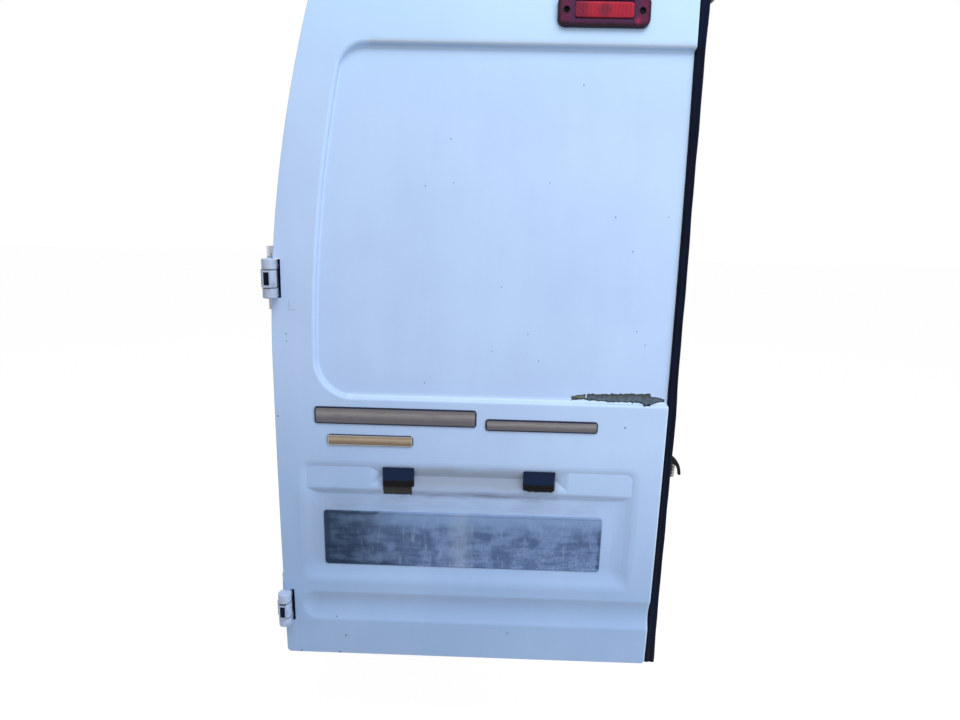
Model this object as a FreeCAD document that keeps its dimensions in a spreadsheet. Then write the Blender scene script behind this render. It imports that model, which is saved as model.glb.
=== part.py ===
import FreeCAD, Part
import math
import os
import re
import Sketcher

# Left-hand rear door of a panel van, with its two hinges, lamps and closing parts.
# The door is drawn shut, seen from behind the van: X runs from the hinge edge to the
# meeting edge, Y runs into the van, Z runs up from the bottom edge. Every finished piece
# is then moved so that the lower hinge's bolting face holds the origin.

SIZES = [
    # Door as a whole
    ("door_width", 700, "hinge edge to meeting edge"),
    ("door_height", 1230, "bottom edge to top edge"),
    ("barrel_radius", 11200, "upright curve of the outer face"),
    ("edge_radius", 2300, "curve of the upper hinge edge"),
    ("edge_curve_start", 585, "height at which the hinge edge starts to curve"),
    ("top_hinge_corner", 60, "corner radius, top of the hinge edge"),
    ("top_meeting_corner", 12, "corner radius, top of the meeting edge"),
    ("bottom_corner", 8, "corner radius, both bottom corners"),
    ("edge_round", 1.6, "rounding of the folded outer edge"),
    ("door_depth", 45, "outer face to inner face"),
    ("overrun", 30, "how far cutting shapes stand past the door"),
    # Outer skin
    ("skin_gauge", 1.2, "sheet thickness of both pressings"),
    ("hem_depth", 20, "depth of the edge turned round the skin"),
    ("seat_gap", 0.3, "gap left at each glued or bolted seat"),
    ("window_margin", 76, "hinge edge to the blank window recess"),
    ("window_bottom", 522, "bottom of the blank window recess"),
    ("window_drop", 124, "top edge to the blank window recess"),
    ("window_depth", 10, "depth of the blank window recess"),
    ("window_edge_radius", 2600, "curve of the recess's upper left side"),
    ("window_low_corner", 66, "lower corner radius of the recess"),
    ("window_high_corner", 48, "upper corner radius of the recess"),
    ("window_lip", 5.5, "rounding where the face turns into the recess"),
    ("window_root", 4.3, "rounding round the floor of the recess"),
    ("bead_height", 106.5, "middle of the lower bead"),
    ("bead_half", 29.5, "half of the bead's height"),
    ("bead_depth", 7, "depth of the bead"),
    ("bead_start", 36, "hinge edge to the rounded end of the bead"),
    ("bead_lip", 12, "rounding along the bead"),
    # Number plate recess
    ("bay_margin", 43.5, "both door edges to the recess"),
    ("bay_bottom", 160, "bottom of the recess"),
    ("bay_height", 240, "height of the recess"),
    ("bay_depth", 10, "depth behind the plate"),
    ("bay_corner", 42, "corner radius of the recess"),
    ("bay_side_run", 26, "width of the recess's sloping sides"),
    ("bay_foot_run", 26, "height of the recess's sloping foot"),
    ("bay_lip", 30, "rounding where the face turns into the recess"),
    ("bay_root", 60, "rounding round the floor of the recess"),
    ("brow_drop", 52, "top of the recess to the lower edge of its shallow brow"),
    ("brow_depth", 3, "depth of the brow"),
    ("brow_head_run", 7.2, "height of the slope above the brow"),
    ("brow_fall", 12, "height of the slope below the brow"),
    ("brow_lip", 12, "rounding of the brow's lower edge"),
    ("trough_margin", 125, "sides of the recess to the lamp trough"),
    ("trough_low", 7, "brow's lower edge to the trough"),
    ("trough_slope", 19, "height of the trough's lower slope"),
    ("trough_end_slope", 24, "length of the trough's end slopes"),
    ("trough_depth", 10.5, "depth of the lamp trough"),
    ("trough_lip", 16, "rounding of the trough's mouth"),
    ("plate_width", 520, "number plate width"),
    ("plate_height", 110, "number plate height"),
    ("plate_gauge", 1.2, "number plate thickness"),
    ("plate_inset", 36.5, "side of the recess to the number plate"),
    ("plate_rise", 31.5, "bottom of the recess to the number plate"),
    # Inner panel
    ("flange_inset", 1, "skin edge to the inner panel's flange edge"),
    ("wall_inset", 14, "skin edge to the inner panel's upright wall"),
    ("wall_round", 8, "rounding between the wall and the inner face"),
    ("opening_margin", 96, "hinge edge to the window opening"),
    ("opening_stile", 104, "meeting edge to the window opening"),
    ("opening_bottom", 556, "bottom of the window opening"),
    ("opening_drop", 138, "top edge to the window opening"),
    ("opening_corner", 40, "corner radius of the window opening"),
    ("return_depth", 16, "depth at which the opening's return ends"),
    # Hinges
    ("lower_hinge", 105.5, "middle of the lower hinge"),
    ("upper_hinge", 728.5, "middle of the upper hinge"),
    ("pin_inset", 5, "hinge edge to the pin's axis"),
    ("pin_standoff", 10.5, "pin axis in front of the outer face"),
    ("pin_radius", 5, "hinge pin"),
    ("pin_clearance", 0.05, "pin to bore, on the radius"),
    ("pin_head_radius", 7.5, "pin head"),
    ("pin_head_height", 2.6, "pin head"),
    ("knuckle_radius", 12, "hinge knuckle"),
    ("hinge_half", 31.5, "half of the knuckles' height"),
    ("strap_half", 15, "half of the middle knuckle's height"),
    ("knuckle_gap", 0.5, "end play between knuckles"),
    ("strap_gauge", 4, "thickness of the strap on the pillar"),
    ("strap_offset", 14.5, "pin axis to the strap's bolting face"),
    ("flange_start", 29, "pin axis to the front of the strap's flange"),
    ("flange_end", 49, "pin axis to the back of the strap's flange"),
    ("flange_half", 55, "half of the flange's height"),
    ("bolt_circle", 76, "distance between the two bolt holes"),
    ("bolt_radius", 4.5, "bolt holes"),
    ("stop_reach", 14, "pin axis to the end of the stop"),
    ("stop_width", 12, "width of the stop"),
    ("buffer_width", 8.5, "rubber buffer on the stop"),
    ("buffer_height", 21, "rubber buffer on the stop"),
    ("buffer_depth", 2.5, "rubber buffer on the stop"),
    ("buffer_proud", 0.6, "rubber standing out of the stop"),
    ("leaf_gauge", 4, "thickness of the leaf on the door"),
    ("leaf_end", 46, "pin axis to the back of the leaf"),
    ("leaf_gap_end", 24, "pin axis to the end of the leaf's middle gap"),
    ("notch_reach", 20, "hinge edge to the end of the notch"),
    ("notch_margin", 2, "notch above and below the hinge"),
    ("notch_relief", 0.01, "flange left standing at the wall in the notch"),
    ("gasket_depth", 5, "rubber filling round the hinge leaf"),
    ("gasket_sink", 6.5, "outer face to the rubber filling"),
    ("rubber_gap", 0.6, "gap left round rubber pieces"),
    # Meeting edge
    ("seal_overhang", 15, "meeting edge to the outer edge of the seal"),
    ("seal_face", 4, "depth of the seal beside the door's edge"),
    ("seal_front", 23, "depth at which the seal's foot starts"),
    ("seal_thickness", 8, "thickness of the seal's foot"),
    ("seal_lip_round", 3.6, "rounding of the seal's outer edge"),
    ("seal_block_overhang", 26, "meeting edge to the outer edge of the seal's top block"),
    ("seal_block_height", 46, "height of the seal's top block"),
    ("seal_block_extra", 3, "top block deeper than the seal"),
    ("seal_end_gap", 1, "door edge to both ends of the seal"),
    ("striker_height", 404, "middle of the striker"),
    ("striker_depth", 38.5, "middle of the striker"),
    ("striker_plate_half", 34, "half of the striker plate's height"),
    ("striker_plate_width", 12, "striker plate"),
    ("striker_plate_gauge", 3, "striker plate"),
    ("striker_overhang", 34, "meeting edge to the outer end of the striker loop"),
    ("striker_wire", 4, "radius of the striker loop's wire"),
    ("striker_span", 26, "distance between the loop's two arms"),
    ("wedge_overhang", 46, "meeting edge to the outer end of the guide wedge"),
    ("wedge_height", 20, "guide wedge"),
    ("wedge_nose", 7, "height of the guide wedge's nose"),
    # High brake lamp
    ("brake_lamp_inset", 151.5, "meeting edge to the middle of the brake lamp"),
    ("brake_lamp_drop", 72, "top edge to the middle of the brake lamp"),
    ("brake_lamp_width", 147, "brake lamp housing"),
    ("brake_lamp_height", 48, "brake lamp housing"),
    ("brake_lamp_depth", 6.5, "brake lamp housing"),
    ("brake_lamp_corner", 13, "brake lamp housing"),
    ("brake_lamp_edge", 4, "rounding of the housing's front edge"),
    ("brake_gasket_gauge", 1.5, "rubber under the brake lamp"),
    ("brake_lens_width", 93, "brake lamp lens"),
    ("brake_lens_height", 28, "brake lamp lens"),
    ("brake_lens_depth", 3, "brake lamp lens"),
    ("brake_lens_proud", 1.2, "lens standing out of the housing"),
    ("brake_lens_edge", 0.96, "rounding of the lens's front edge"),
    ("brake_screw_span", 119.5, "distance between the two screw wells"),
    ("brake_screw_radius", 4.5, "screw wells"),
    ("brake_screw_depth", 4, "screw wells"),
    # Number plate lamps
    ("plate_lamp_span", 257, "distance between the two lamps"),
    ("plate_lamp_width", 58, "lamp housing at its foot"),
    ("plate_lamp_nose_width", 50, "lamp housing at its nose"),
    ("plate_lamp_height", 37, "lamp housing at its foot"),
    ("plate_lamp_nose_height", 9, "lamp housing at its nose"),
    ("plate_lamp_nose_rise", 4, "foot of the housing to the nose"),
    ("plate_lamp_proud", 9, "nose in front of the outer face"),
    ("plate_lamp_edge", 2, "rounding of the housing"),
    ("plate_lens_width", 40, "lamp lens"),
    ("plate_lens_depth", 9, "lamp lens, up the slope of the underside"),
    ("plate_lens_gauge", 3, "lamp lens"),
    ("plate_lens_proud", 0.8, "lens standing out of the underside"),
    ("plate_lens_corner", 1, "lamp lens"),
    # Blank name strips
    ("long_strip_left", 72, "hinge edge to the long strip"),
    ("long_strip_width", 290, "long strip"),
    ("long_strip_z", 489, "middle of the long strip"),
    ("long_strip_height", 32, "long strip"),
    ("short_strip_left", 378, "hinge edge to the short strip"),
    ("short_strip_width", 200, "short strip"),
    ("short_strip_z", 479, "middle of the short strip"),
    ("short_strip_height", 22, "short strip"),
    ("grade_strip_left", 94, "hinge edge to the grade strip"),
    ("grade_strip_width", 155, "grade strip"),
    ("grade_strip_z", 443.5, "middle of the grade strip"),
    ("grade_strip_height", 21, "grade strip"),
    ("strip_gauge", 2.2, "thickness of the strips"),
    ("strip_corner", 6, "corner radius of the strips"),
    # Inside of the door
    ("trim_margin", 52, "door edges to the lower trim panel"),
    ("trim_bottom", 60, "bottom edge to the lower trim panel"),
    ("trim_drop", 36, "window opening to the lower trim panel"),
    ("trim_gauge", 3, "lower trim panel"),
    ("trim_corner", 30, "lower trim panel"),
    ("handle_inset", 60, "meeting edge to the middle of the release handle"),
    ("handle_z", 640, "middle of the release handle"),
    ("bezel_width", 56, "release handle bezel"),
    ("bezel_height", 130, "release handle bezel"),
    ("bezel_depth", 7, "release handle bezel"),
    ("bezel_corner", 12, "release handle bezel"),
    ("handle_width", 34, "release handle"),
    ("handle_height", 96, "release handle"),
    ("handle_depth", 10, "release handle"),
    ("handle_clearance", 2, "room round the handle in its bezel"),
    ("catch_inset", 58, "meeting edge to the middle of both catches"),
    ("upper_catch_drop", 70, "top edge to the middle of the upper catch"),
    ("lower_catch_z", 36, "middle of the lower catch"),
    ("catch_width", 50, "catches"),
    ("catch_height", 40, "catches"),
    ("catch_depth", 16, "catches"),
    ("catch_mouth", 14, "slot in each catch"),
    ("catch_mouth_top", 12, "middle of the catch to the top of its slot"),
    ("grommet_z", 470, "middle of the wiring grommet"),
    ("grommet_depth", 33, "middle of the wiring grommet"),
    ("grommet_radius", 10, "wiring grommet's rim"),
    ("grommet_bore", 4, "wiring grommet's hole"),
    ("grommet_rim", 2.5, "thickness of the grommet's rim"),
    ("grommet_neck_radius", 7, "wiring grommet's neck"),
    ("grommet_neck", 7, "length of the grommet's neck"),
]

doc = FreeCAD.newDocument("VanRearDoor")
sheet = doc.addObject("Spreadsheet::Sheet", "Sizes")
for row, (alias, value, note) in enumerate(SIZES, start=1):
    sheet.set(f"A{row}", note)
    sheet.set(f"B{row}", str(value))
    sheet.setAlias(f"B{row}", alias)
doc.recompute()
ALIASES = {alias for alias, value, note in SIZES}
ACROSS = FreeCAD.Vector(1, 0, 0)
INWARD = FreeCAD.Vector(0, 1, 0)
# An edge whose unit tangent has this much along a direction runs that way.
STRAIGHT = 0.99


def formula(text):
    """Expression in which each size's name points to its cell."""
    return re.sub(r"[a-z_]+", lambda m: "Sizes." + m[0] if m[0] in ALIASES else m[0], text)


def bind(item, **sizes):
    """Tie properties of an item to formulas; a double underscore stands for a dot."""
    for name, text in sizes.items():
        item.setExpression(name.replace("__", "."), formula(text))
    return item


def place(item, x, y, z, lean="0"):
    """Put an item at x, y, z, leaning back into the van by an angle about X."""
    item.Placement = FreeCAD.Placement(FreeCAD.Vector(), FreeCAD.Rotation(-ACROSS, 1))
    bind(item, Placement__Base__x=x, Placement__Base__y=y, Placement__Base__z=z)
    return bind(item, Placement__Rotation__Angle=lean)


def face_depth(height):
    """How far the curved outer face has moved into the van at a height."""
    return f"(barrel_radius - sqrt(barrel_radius^2 - ({height})^2))"


def face_lean(height):
    """Lean of the curved outer face at a height."""
    return f"asin(({height}) / barrel_radius)"


# The pin axis runs through both hinges, the same way in front of the face at each.
AXIS_LEAN = (
    f"atan(({face_depth('upper_hinge')} - {face_depth('lower_hinge')})"
    " / (upper_hinge - lower_hinge))"
)
# Middle of the lower strap's bolting face, which holds the origin.
FLANGE_MIDDLE = "(flange_start + flange_end) / 2"
ORIGIN_X = "(pin_inset - strap_offset)"
ORIGIN_Y = f"({face_depth('lower_hinge')} - pin_standoff + {FLANGE_MIDDLE} * cos({AXIS_LEAN}))"
ORIGIN_Z = f"(lower_hinge - {FLANGE_MIDDLE} * sin({AXIS_LEAN}))"


def seat(item, x="0", y="0", z="0", lean="0"):
    """Move a finished piece from its own frame to its place beside the origin."""
    return place(item, f"{x} - {ORIGIN_X}", f"{y} - {ORIGIN_Y}", f"{z} - {ORIGIN_Z}", lean)


def seat_on_face(item, x, z):
    """Seat a piece drawn at the origin on the outer face, leaning with it."""
    return seat(item, x, face_depth(z), z, face_lean(z))


def seat_on_axis(item, height):
    """Seat a hinge piece drawn about the pin axis."""
    return seat(item, "pin_inset", f"{face_depth(height)} - pin_standoff", height, AXIS_LEAN)


def box(name, x, y, z, length, width, height):
    """Block from its low corner and its three sizes."""
    item = doc.addObject("Part::Box", name)
    bind(item, Length=length, Width=width, Height=height)
    return bind(item, Placement__Base__x=x, Placement__Base__y=y, Placement__Base__z=z)


def rod(name, radius, length, x="0", y="0", z="0", along="Z"):
    """Round bar along Z, or along X."""
    item = doc.addObject("Part::Cylinder", name)
    if along == "X":
        item.Placement = FreeCAD.Placement(FreeCAD.Vector(), FreeCAD.Rotation(INWARD, 90))
    bind(item, Radius=radius, Height=length)
    return bind(item, Placement__Base__x=x, Placement__Base__y=y, Placement__Base__z=z)


def barrel(name, depth):
    """Everything further in than a depth behind the curved outer face."""
    return rod(
        name, f"barrel_radius - ({depth})", "door_width + 4 * overrun",
        "-2 * overrun", "barrel_radius", "0", along="X",
    )


def joined(name, *items):
    """Union of several items."""
    item = doc.addObject("Part::MultiFuse", name)
    item.Shapes = list(items)
    item.Refine = True
    return item


def shared(name, first, second):
    """Common volume of two items."""
    item = doc.addObject("Part::Common", name)
    item.Base = first
    item.Tool = second
    return item


def without(name, base, *tools):
    """A base with one or more tools taken away."""
    item = doc.addObject("Part::Cut", name)
    item.Base = base
    item.Tool = tools[0] if len(tools) == 1 else joined(name + "_tools", *tools)
    return item


def size(name):
    """Value of a size, for the few features that take plain numbers."""
    return sheet.get(name)


def middle(edge):
    """Point half-way along an edge."""
    return edge.valueAt((edge.FirstParameter + edge.LastParameter) / 2)


def runs_inward(edge):
    """True for an edge that runs straight into the van."""
    return abs(edge.tangentAt((edge.FirstParameter + edge.LastParameter) / 2).y) > STRAIGHT


def rounded(name, base, radius, wanted):
    """Base with a radius on each edge that the test picks."""
    doc.recompute()
    edges = enumerate(base.Shape.Edges, start=1)
    item = doc.addObject("Part::Fillet", name)
    item.Base = base
    item.Edges = [(number, radius, radius) for number, edge in edges if wanted(edge)]
    return item


def rounded_corners(name, base, radius, upper=None, right=None):
    """Base with a radius on its inward edges, or only on those of one half."""
    doc.recompute()
    centre = base.Shape.BoundBox.Center
    bend = size("edge_curve_start")

    def wanted(edge):
        spot = middle(edge)
        if not runs_inward(edge) or abs(spot.z - bend) < size("seat_gap"):
            return False
        return upper in (None, spot.z > centre.z) and right in (None, spot.x > centre.x)

    return rounded(name, base, radius, wanted)


def rounded_block(name, width, front, depth, height, corner):
    """Upright block centred on X and Z with rounded corners."""
    block = box(
        name + "_block", f"-({width}) / 2", front, f"-({height}) / 2", width, depth, height
    )
    return rounded_corners(name + "_corners", block, size(corner))


def panel(name, left, bottom, right, top, curve="edge_radius"):
    """Prism through the door whose left side is upright, then curves like the hinge edge."""
    sketch = doc.addObject("Sketcher::SketchObject", name + "_sketch")
    sketch.Placement = FreeCAD.Placement(FreeCAD.Vector(), FreeCAD.Rotation(ACROSS, 90))
    wide, tall = size("door_width"), size("door_height")
    radius, start = size(curve), size("edge_curve_start")
    circle = Part.Circle(FreeCAD.Vector(radius, start, 0), FreeCAD.Vector(0, 0, 1), radius)
    arc = Part.ArcOfCircle(circle, math.pi - math.asin((tall - start) / radius), math.pi)
    low_left = FreeCAD.Vector(0, 0, 0)
    low_right = FreeCAD.Vector(wide, 0, 0)
    high_right = FreeCAD.Vector(wide, tall, 0)
    sketch.addGeometry(Part.LineSegment(low_left, arc.EndPoint))
    sketch.addGeometry(arc)
    sketch.addGeometry(Part.LineSegment(arc.StartPoint, high_right))
    sketch.addGeometry(Part.LineSegment(high_right, low_right))
    sketch.addGeometry(Part.LineSegment(low_right, low_left))
    for ends in [(0, 2, 1, 2), (1, 1, 2, 1), (2, 2, 3, 1), (3, 2, 4, 1), (4, 2, 0, 1)]:
        sketch.addConstraint(Sketcher.Constraint("Coincident", *ends))
    for line, way in [(0, "Vertical"), (2, "Horizontal"), (3, "Vertical"), (4, "Horizontal")]:
        sketch.addConstraint(Sketcher.Constraint(way, line))
    # Arc centre, lower end of the arc, upper right corner and bottom line.
    measures = [
        ("DistanceX", 1, 3, radius, curve),
        ("DistanceY", 1, 3, start, "edge_curve_start"),
        ("DistanceX", 0, 2, 0, left),
        ("DistanceY", 0, 2, start, "edge_curve_start"),
        ("DistanceX", 3, 1, wide, right),
        ("DistanceY", 3, 1, tall, top),
        ("DistanceY", 4, 2, 0, bottom),
    ]
    for way, line, point, value, text in measures:
        number = sketch.addConstraint(Sketcher.Constraint(way, -1, 1, line, point, value))
        sketch.setExpression(f"Constraints[{number}]", formula(text))
    prism = doc.addObject("Part::Extrusion", name)
    prism.Base = sketch
    prism.DirMode = "Custom"
    prism.Dir = INWARD
    prism.Solid = True
    return bind(prism, LengthFwd="5 * overrun", LengthRev="overrun")


def outline(name, inset):
    """Prism of the door's outline, moved in by an inset, with its corners rounded."""
    prism = panel(
        name + "_prism", inset, inset, f"door_width - ({inset})", f"door_height - ({inset})"
    )
    low = rounded_corners(name + "_low", prism, size("bottom_corner"), upper=False)
    left = rounded_corners(name + "_left", low, size("top_hinge_corner"), upper=True, right=False)
    return rounded_corners(name, left, size("top_meeting_corner"), upper=True, right=True)


def band(name, prism, near, far):
    """Part of a prism between two depths behind the outer face."""
    front = shared(name + "_front", prism, barrel(name + "_near", near))
    return without(name, front, barrel(name + "_far", far))


def sunk(name, prism, depth):
    """Part of a prism that lies in front of a depth, to press a recess with."""
    return without(name, prism, barrel(name + "_floor", depth))


def scoop(name, level):
    """Lower bead: a round-ended groove that runs out at the meeting edge."""
    # An arc of this radius is as wide as the bead at the face and as deep in its middle.
    radius = f"(bead_half^2 + bead_depth^2) / (2 * bead_depth) + {level}"
    y = f"{face_depth('bead_height')} + bead_depth - ({radius}) + {level}"
    start = "bead_start + bead_half"
    groove = rod(name + "_groove", radius, "door_width", start, y, "bead_height", along="X")
    end = doc.addObject("Part::Sphere", name + "_end")
    # The sphere's seam is turned outwards, away from the sheet.
    end.Placement = FreeCAD.Placement(FreeCAD.Vector(), FreeCAD.Rotation(-90, 0, 0))
    bind(end, Radius=radius)
    bind(end, Placement__Base__x=start, Placement__Base__y=y, Placement__Base__z="bead_height")
    return joined(name, groove, end)


BAY_TOP = "(bay_bottom + bay_height)"
BAY_MIDDLE = "(bay_bottom + bay_height / 2)"
BROW_EDGE = f"({BAY_TOP} - brow_drop)"
TROUGH_BOTTOM = f"({BROW_EDGE} + trough_low)"
TROUGH_MIDDLE = f"(({BROW_EDGE} + {BAY_TOP}) / 2)"


def tray(name, level, depth, ends, rates, beyond=0):
    """Tool for a recess with sloping sides, square to the face at the middle of the plate recess.

    Its ends are the left, bottom and top of its mouth on the face. Its rates are how far the
    sides, the bottom and the top come in for each unit of depth.
    """
    item = doc.addObject("Part::Wedge", name)
    # The slopes run on by this share of the depth, so that the tool stands clear of the face.
    past = 0.5
    # Moving a slope back square to itself by one level widens the mouth by this much.
    wider = [f"(({level}) * (sqrt(({rate})^2 + 1) - ({rate})))" for rate in rates]
    left, bottom, top = ends
    side_rate, low_rate, high_rate = rates
    low, high = f"({bottom} - {BAY_MIDDLE} - {wider[1]})", f"({top} - {BAY_MIDDLE} + {wider[2]})"
    near, far = f"({left} - {wider[0]})", f"(door_width - ({left}) + {wider[0]})"
    out, deep = f"({past} * ({depth}))", f"((1 + {beyond}) * ({depth}))"
    bind(item, Ymin=f"({level}) - {out}", Ymax=f"({level}) + {deep}")
    bind(item, Xmin=f"{near} - ({side_rate}) * {out}", X2min=f"{near} + ({side_rate}) * {deep}")
    bind(item, Xmax=f"{far} + ({side_rate}) * {out}", X2max=f"{far} - ({side_rate}) * {deep}")
    bind(item, Zmin=f"{low} - ({low_rate}) * {out}", Z2min=f"{low} + ({low_rate}) * {deep}")
    bind(item, Zmax=f"{high} + ({high_rate}) * {out}", Z2max=f"{high} - ({high_rate}) * {deep}")
    return item


def on_bay(item):
    """Lean a finished tray back with the face at the middle of the plate recess."""
    return place(item, "0", face_depth(BAY_MIDDLE), BAY_MIDDLE, face_lean(BAY_MIDDLE))


def rounded_tray(name, base, radius, upper):
    """Tray with a radius on its upper or its lower corners."""
    def wanted(edge):
        way = edge.tangentAt(edge.FirstParameter)
        slants = min(abs(way.x), abs(way.y), abs(way.z)) > 1 - STRAIGHT
        return slants and upper == (middle(edge).z > 0)

    return rounded(name, base, radius, wanted)


SIDE_RATE = "bay_side_run / bay_depth"
HEAD_RATE = "brow_head_run / brow_depth"
FALL_RATE = "brow_fall / (bay_depth - brow_depth)"
TROUGH_RATE = "trough_slope / (trough_depth - brow_depth)"
END_RATE = "trough_end_slope / (trough_depth - brow_depth)"


def trough(name, level):
    """Hollow for the plate lamps, whose upper slope runs on from the slope above the brow."""
    ends = (
        f"bay_margin + trough_margin - ({END_RATE}) * brow_depth",
        f"{TROUGH_BOTTOM} - ({TROUGH_RATE}) * brow_depth", BAY_TOP,
    )
    return on_bay(tray(name, level, "trough_depth", ends, (END_RATE, TROUGH_RATE, HEAD_RATE)))


def at_depth(edge, depth):
    """True for an edge that keeps one depth behind the curved outer face."""
    radius = size("barrel_radius")
    spots = [edge.valueAt(edge.FirstParameter), middle(edge), edge.valueAt(edge.LastParameter)]
    depths = [radius - math.hypot(radius - spot.y, spot.z) for spot in spots]
    return all(abs(value - depth) < size("seat_gap") / 3 for value in depths)


def pressing(name, level, inside):
    """Solid behind the pressed outer surface, or behind its copy one level further in."""
    blank = shared(
        name + "_blank", outline(name + "_outline", level), barrel(name + "_face", level)
    )
    window = panel(
        name + "_window", f"window_margin - ({level})", f"window_bottom - ({level})",
        "door_width + overrun", f"door_height - window_drop + ({level})", "window_edge_radius",
    )
    low = rounded_corners(
        name + "_window_low", window, size("window_low_corner"), upper=False, right=False
    )
    high = rounded_corners(
        name + "_window_high", low, size("window_high_corner"), upper=True, right=False
    )
    bay = tray(
        name + "_bay", level, "bay_depth",
        ("bay_margin", "bay_bottom", f"{BROW_EDGE} + ({FALL_RATE}) * brow_depth"),
        (SIDE_RATE, "bay_foot_run / bay_depth", FALL_RATE), beyond=0.25,
    )
    brow = tray(
        name + "_brow", level, "brow_depth", ("bay_margin", BAY_MIDDLE, BAY_TOP),
        (SIDE_RATE, "0", HEAD_RATE), beyond=1,
    )
    bay_round = on_bay(rounded_tray(name + "_bay_round", bay, size("bay_corner"), upper=False))
    brow_round = on_bay(rounded_tray(name + "_brow_round", brow, size("bay_corner"), upper=True))
    sharp = without(
        name + "_sharp", blank,
        sunk(name + "_window_tool", high, f"window_depth + {level}"),
        sunk(name + "_bay_tool", bay_round, f"bay_depth + {level}"),
        sunk(name + "_brow_tool", brow_round, f"brow_depth + {level}"),
        trough(name + "_trough", level), scoop(name + "_bead", level),
    )
    # Zones of the face, each from its left, bottom and top.
    bay_top = size("bay_bottom") + size("bay_height")
    brow_edge = bay_top - size("brow_drop")
    window_top = size("door_height") - size("window_drop") / 2
    window_zone = (size("window_margin") / 2, bay_top + size("bay_lip"), window_top)
    bay_left = size("bay_margin") / 2
    bay_foot = (size("bead_height") + size("bead_half") + size("bay_bottom")) / 2
    bay_zone = (bay_left, bay_foot, bay_top + size("bay_lip"))
    floor_zone = (bay_left, bay_foot, brow_edge - size("brow_fall") - size("trough_low"))
    brow_zone = (bay_left, brow_edge - size("trough_low"), brow_edge + size("trough_low") / 2)
    trough_zone = (
        size("bay_margin") + size("trough_margin") / 2, brow_edge + size("trough_low") / 2,
        bay_top - 2 * size("brow_head_run"),
    )
    bead_zone = (size("bead_start") / 2, size("bead_height") / 2, bay_foot)

    def lines(zone, depth):
        """Test for the edges of one zone at one depth, short of the meeting edge."""
        left, bottom, top = zone
        right = size("door_width") - max(left, size("window_lip"))

        def wanted(edge):
            spot = middle(edge)
            if not (left < spot.x < right and bottom < spot.z < top):
                return False
            return at_depth(edge, depth + inside)

        return wanted

    # Lips turned outwards lose the sheet's thickness on the inside, and roots gain it.
    steps = [
        ("window_root", inside, lines(window_zone, size("window_depth"))),
        ("window_lip", -inside, lines(window_zone, 0)),
        ("trough_lip", -inside, lines(trough_zone, size("brow_depth"))),
        ("brow_lip", -inside, lines(brow_zone, size("brow_depth"))),
        ("bay_root", inside, lines(floor_zone, size("bay_depth"))),
        ("bay_lip", -inside, lines(bay_zone, 0)),
        ("bead_lip", -inside, lines(bead_zone, 0)),
    ]
    pressed = sharp
    for radius, change, wanted in steps:
        pressed = rounded(f"{name}_{radius}", pressed, size(radius) + change, wanted)
    return pressed


def rim_edges(prism):
    """Test for the edges of the outer face that lie on the sides of a prism."""
    doc.recompute()
    sides = Part.Shell(prism.Shape.Faces)
    radius = size("barrel_radius")

    def wanted(edge):
        spot = middle(edge)
        behind = radius - math.hypot(radius - spot.y, spot.z)
        if behind > size("hem_depth") / 2 + size("seat_gap") or runs_inward(edge):
            return False
        return sides.distToShape(Part.Vertex(spot))[0] < size("pin_clearance")

    return wanted


# Outer skin: one steel pressing with its edge turned in all round.
outer = pressing("skin_outside", "0", 0)
inner = pressing("skin_inside", "skin_gauge", size("skin_gauge"))
rim_test = rim_edges(doc.getObject("skin_outside_outline"))
folded = rounded("skin_folded", outer, size("edge_round"), rim_test)
rim = without("skin_rim", folded, barrel("skin_hem", "hem_depth"))
shell = without("skin_shell", rim, inner)


def hinge_notch(name, height):
    """Room in the door's edge for one hinge, square to the pin axis."""
    item = doc.addObject("Part::Box", name)
    bind(
        item, Length="notch_reach + overrun", Width="3 * overrun",
        Height="2 * (hinge_half + notch_margin)",
    )
    half = "(hinge_half + notch_margin)"
    return place(
        item, "-overrun",
        f"{face_depth(height)} - overrun * cos({AXIS_LEAN}) - {half} * sin({AXIS_LEAN})",
        f"{height} - {half} * cos({AXIS_LEAN}) + overrun * sin({AXIS_LEAN})", AXIS_LEAN,
    )


upper_notch = hinge_notch("upper_notch", "upper_hinge")
lower_notch = hinge_notch("lower_notch", "lower_hinge")
outer_skin = seat(without("outer_skin", shell, upper_notch, lower_notch))

# Inner panel: a hat-shaped pressing, flanged to the skin's edge, with the window opening.
FLANGE_FRONT = "hem_depth + seat_gap"
hat_block = band("hat_block", outline("hat", "wall_inset"), FLANGE_FRONT, "door_depth")
hat = rounded(
    "hat_solid", hat_block, size("wall_round"), lambda edge: at_depth(edge, size("door_depth"))
)
hollow_block = band(
    "hat_hollow_block", outline("hat_inside", "wall_inset + skin_gauge"), "0",
    "door_depth - skin_gauge",
)
hollow = rounded(
    "hat_hollow", hollow_block, size("wall_round") - size("skin_gauge"),
    lambda edge: at_depth(edge, size("door_depth") - size("skin_gauge")),
)


def opening(name, growth):
    """Prism of the window opening, grown all round."""
    prism = panel(
        name + "_prism", f"opening_margin - ({growth})", f"opening_bottom - ({growth})",
        f"door_width - opening_stile + {growth}", f"door_height - opening_drop + {growth}",
    )
    return rounded_corners(name, prism, size("opening_corner"))


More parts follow.
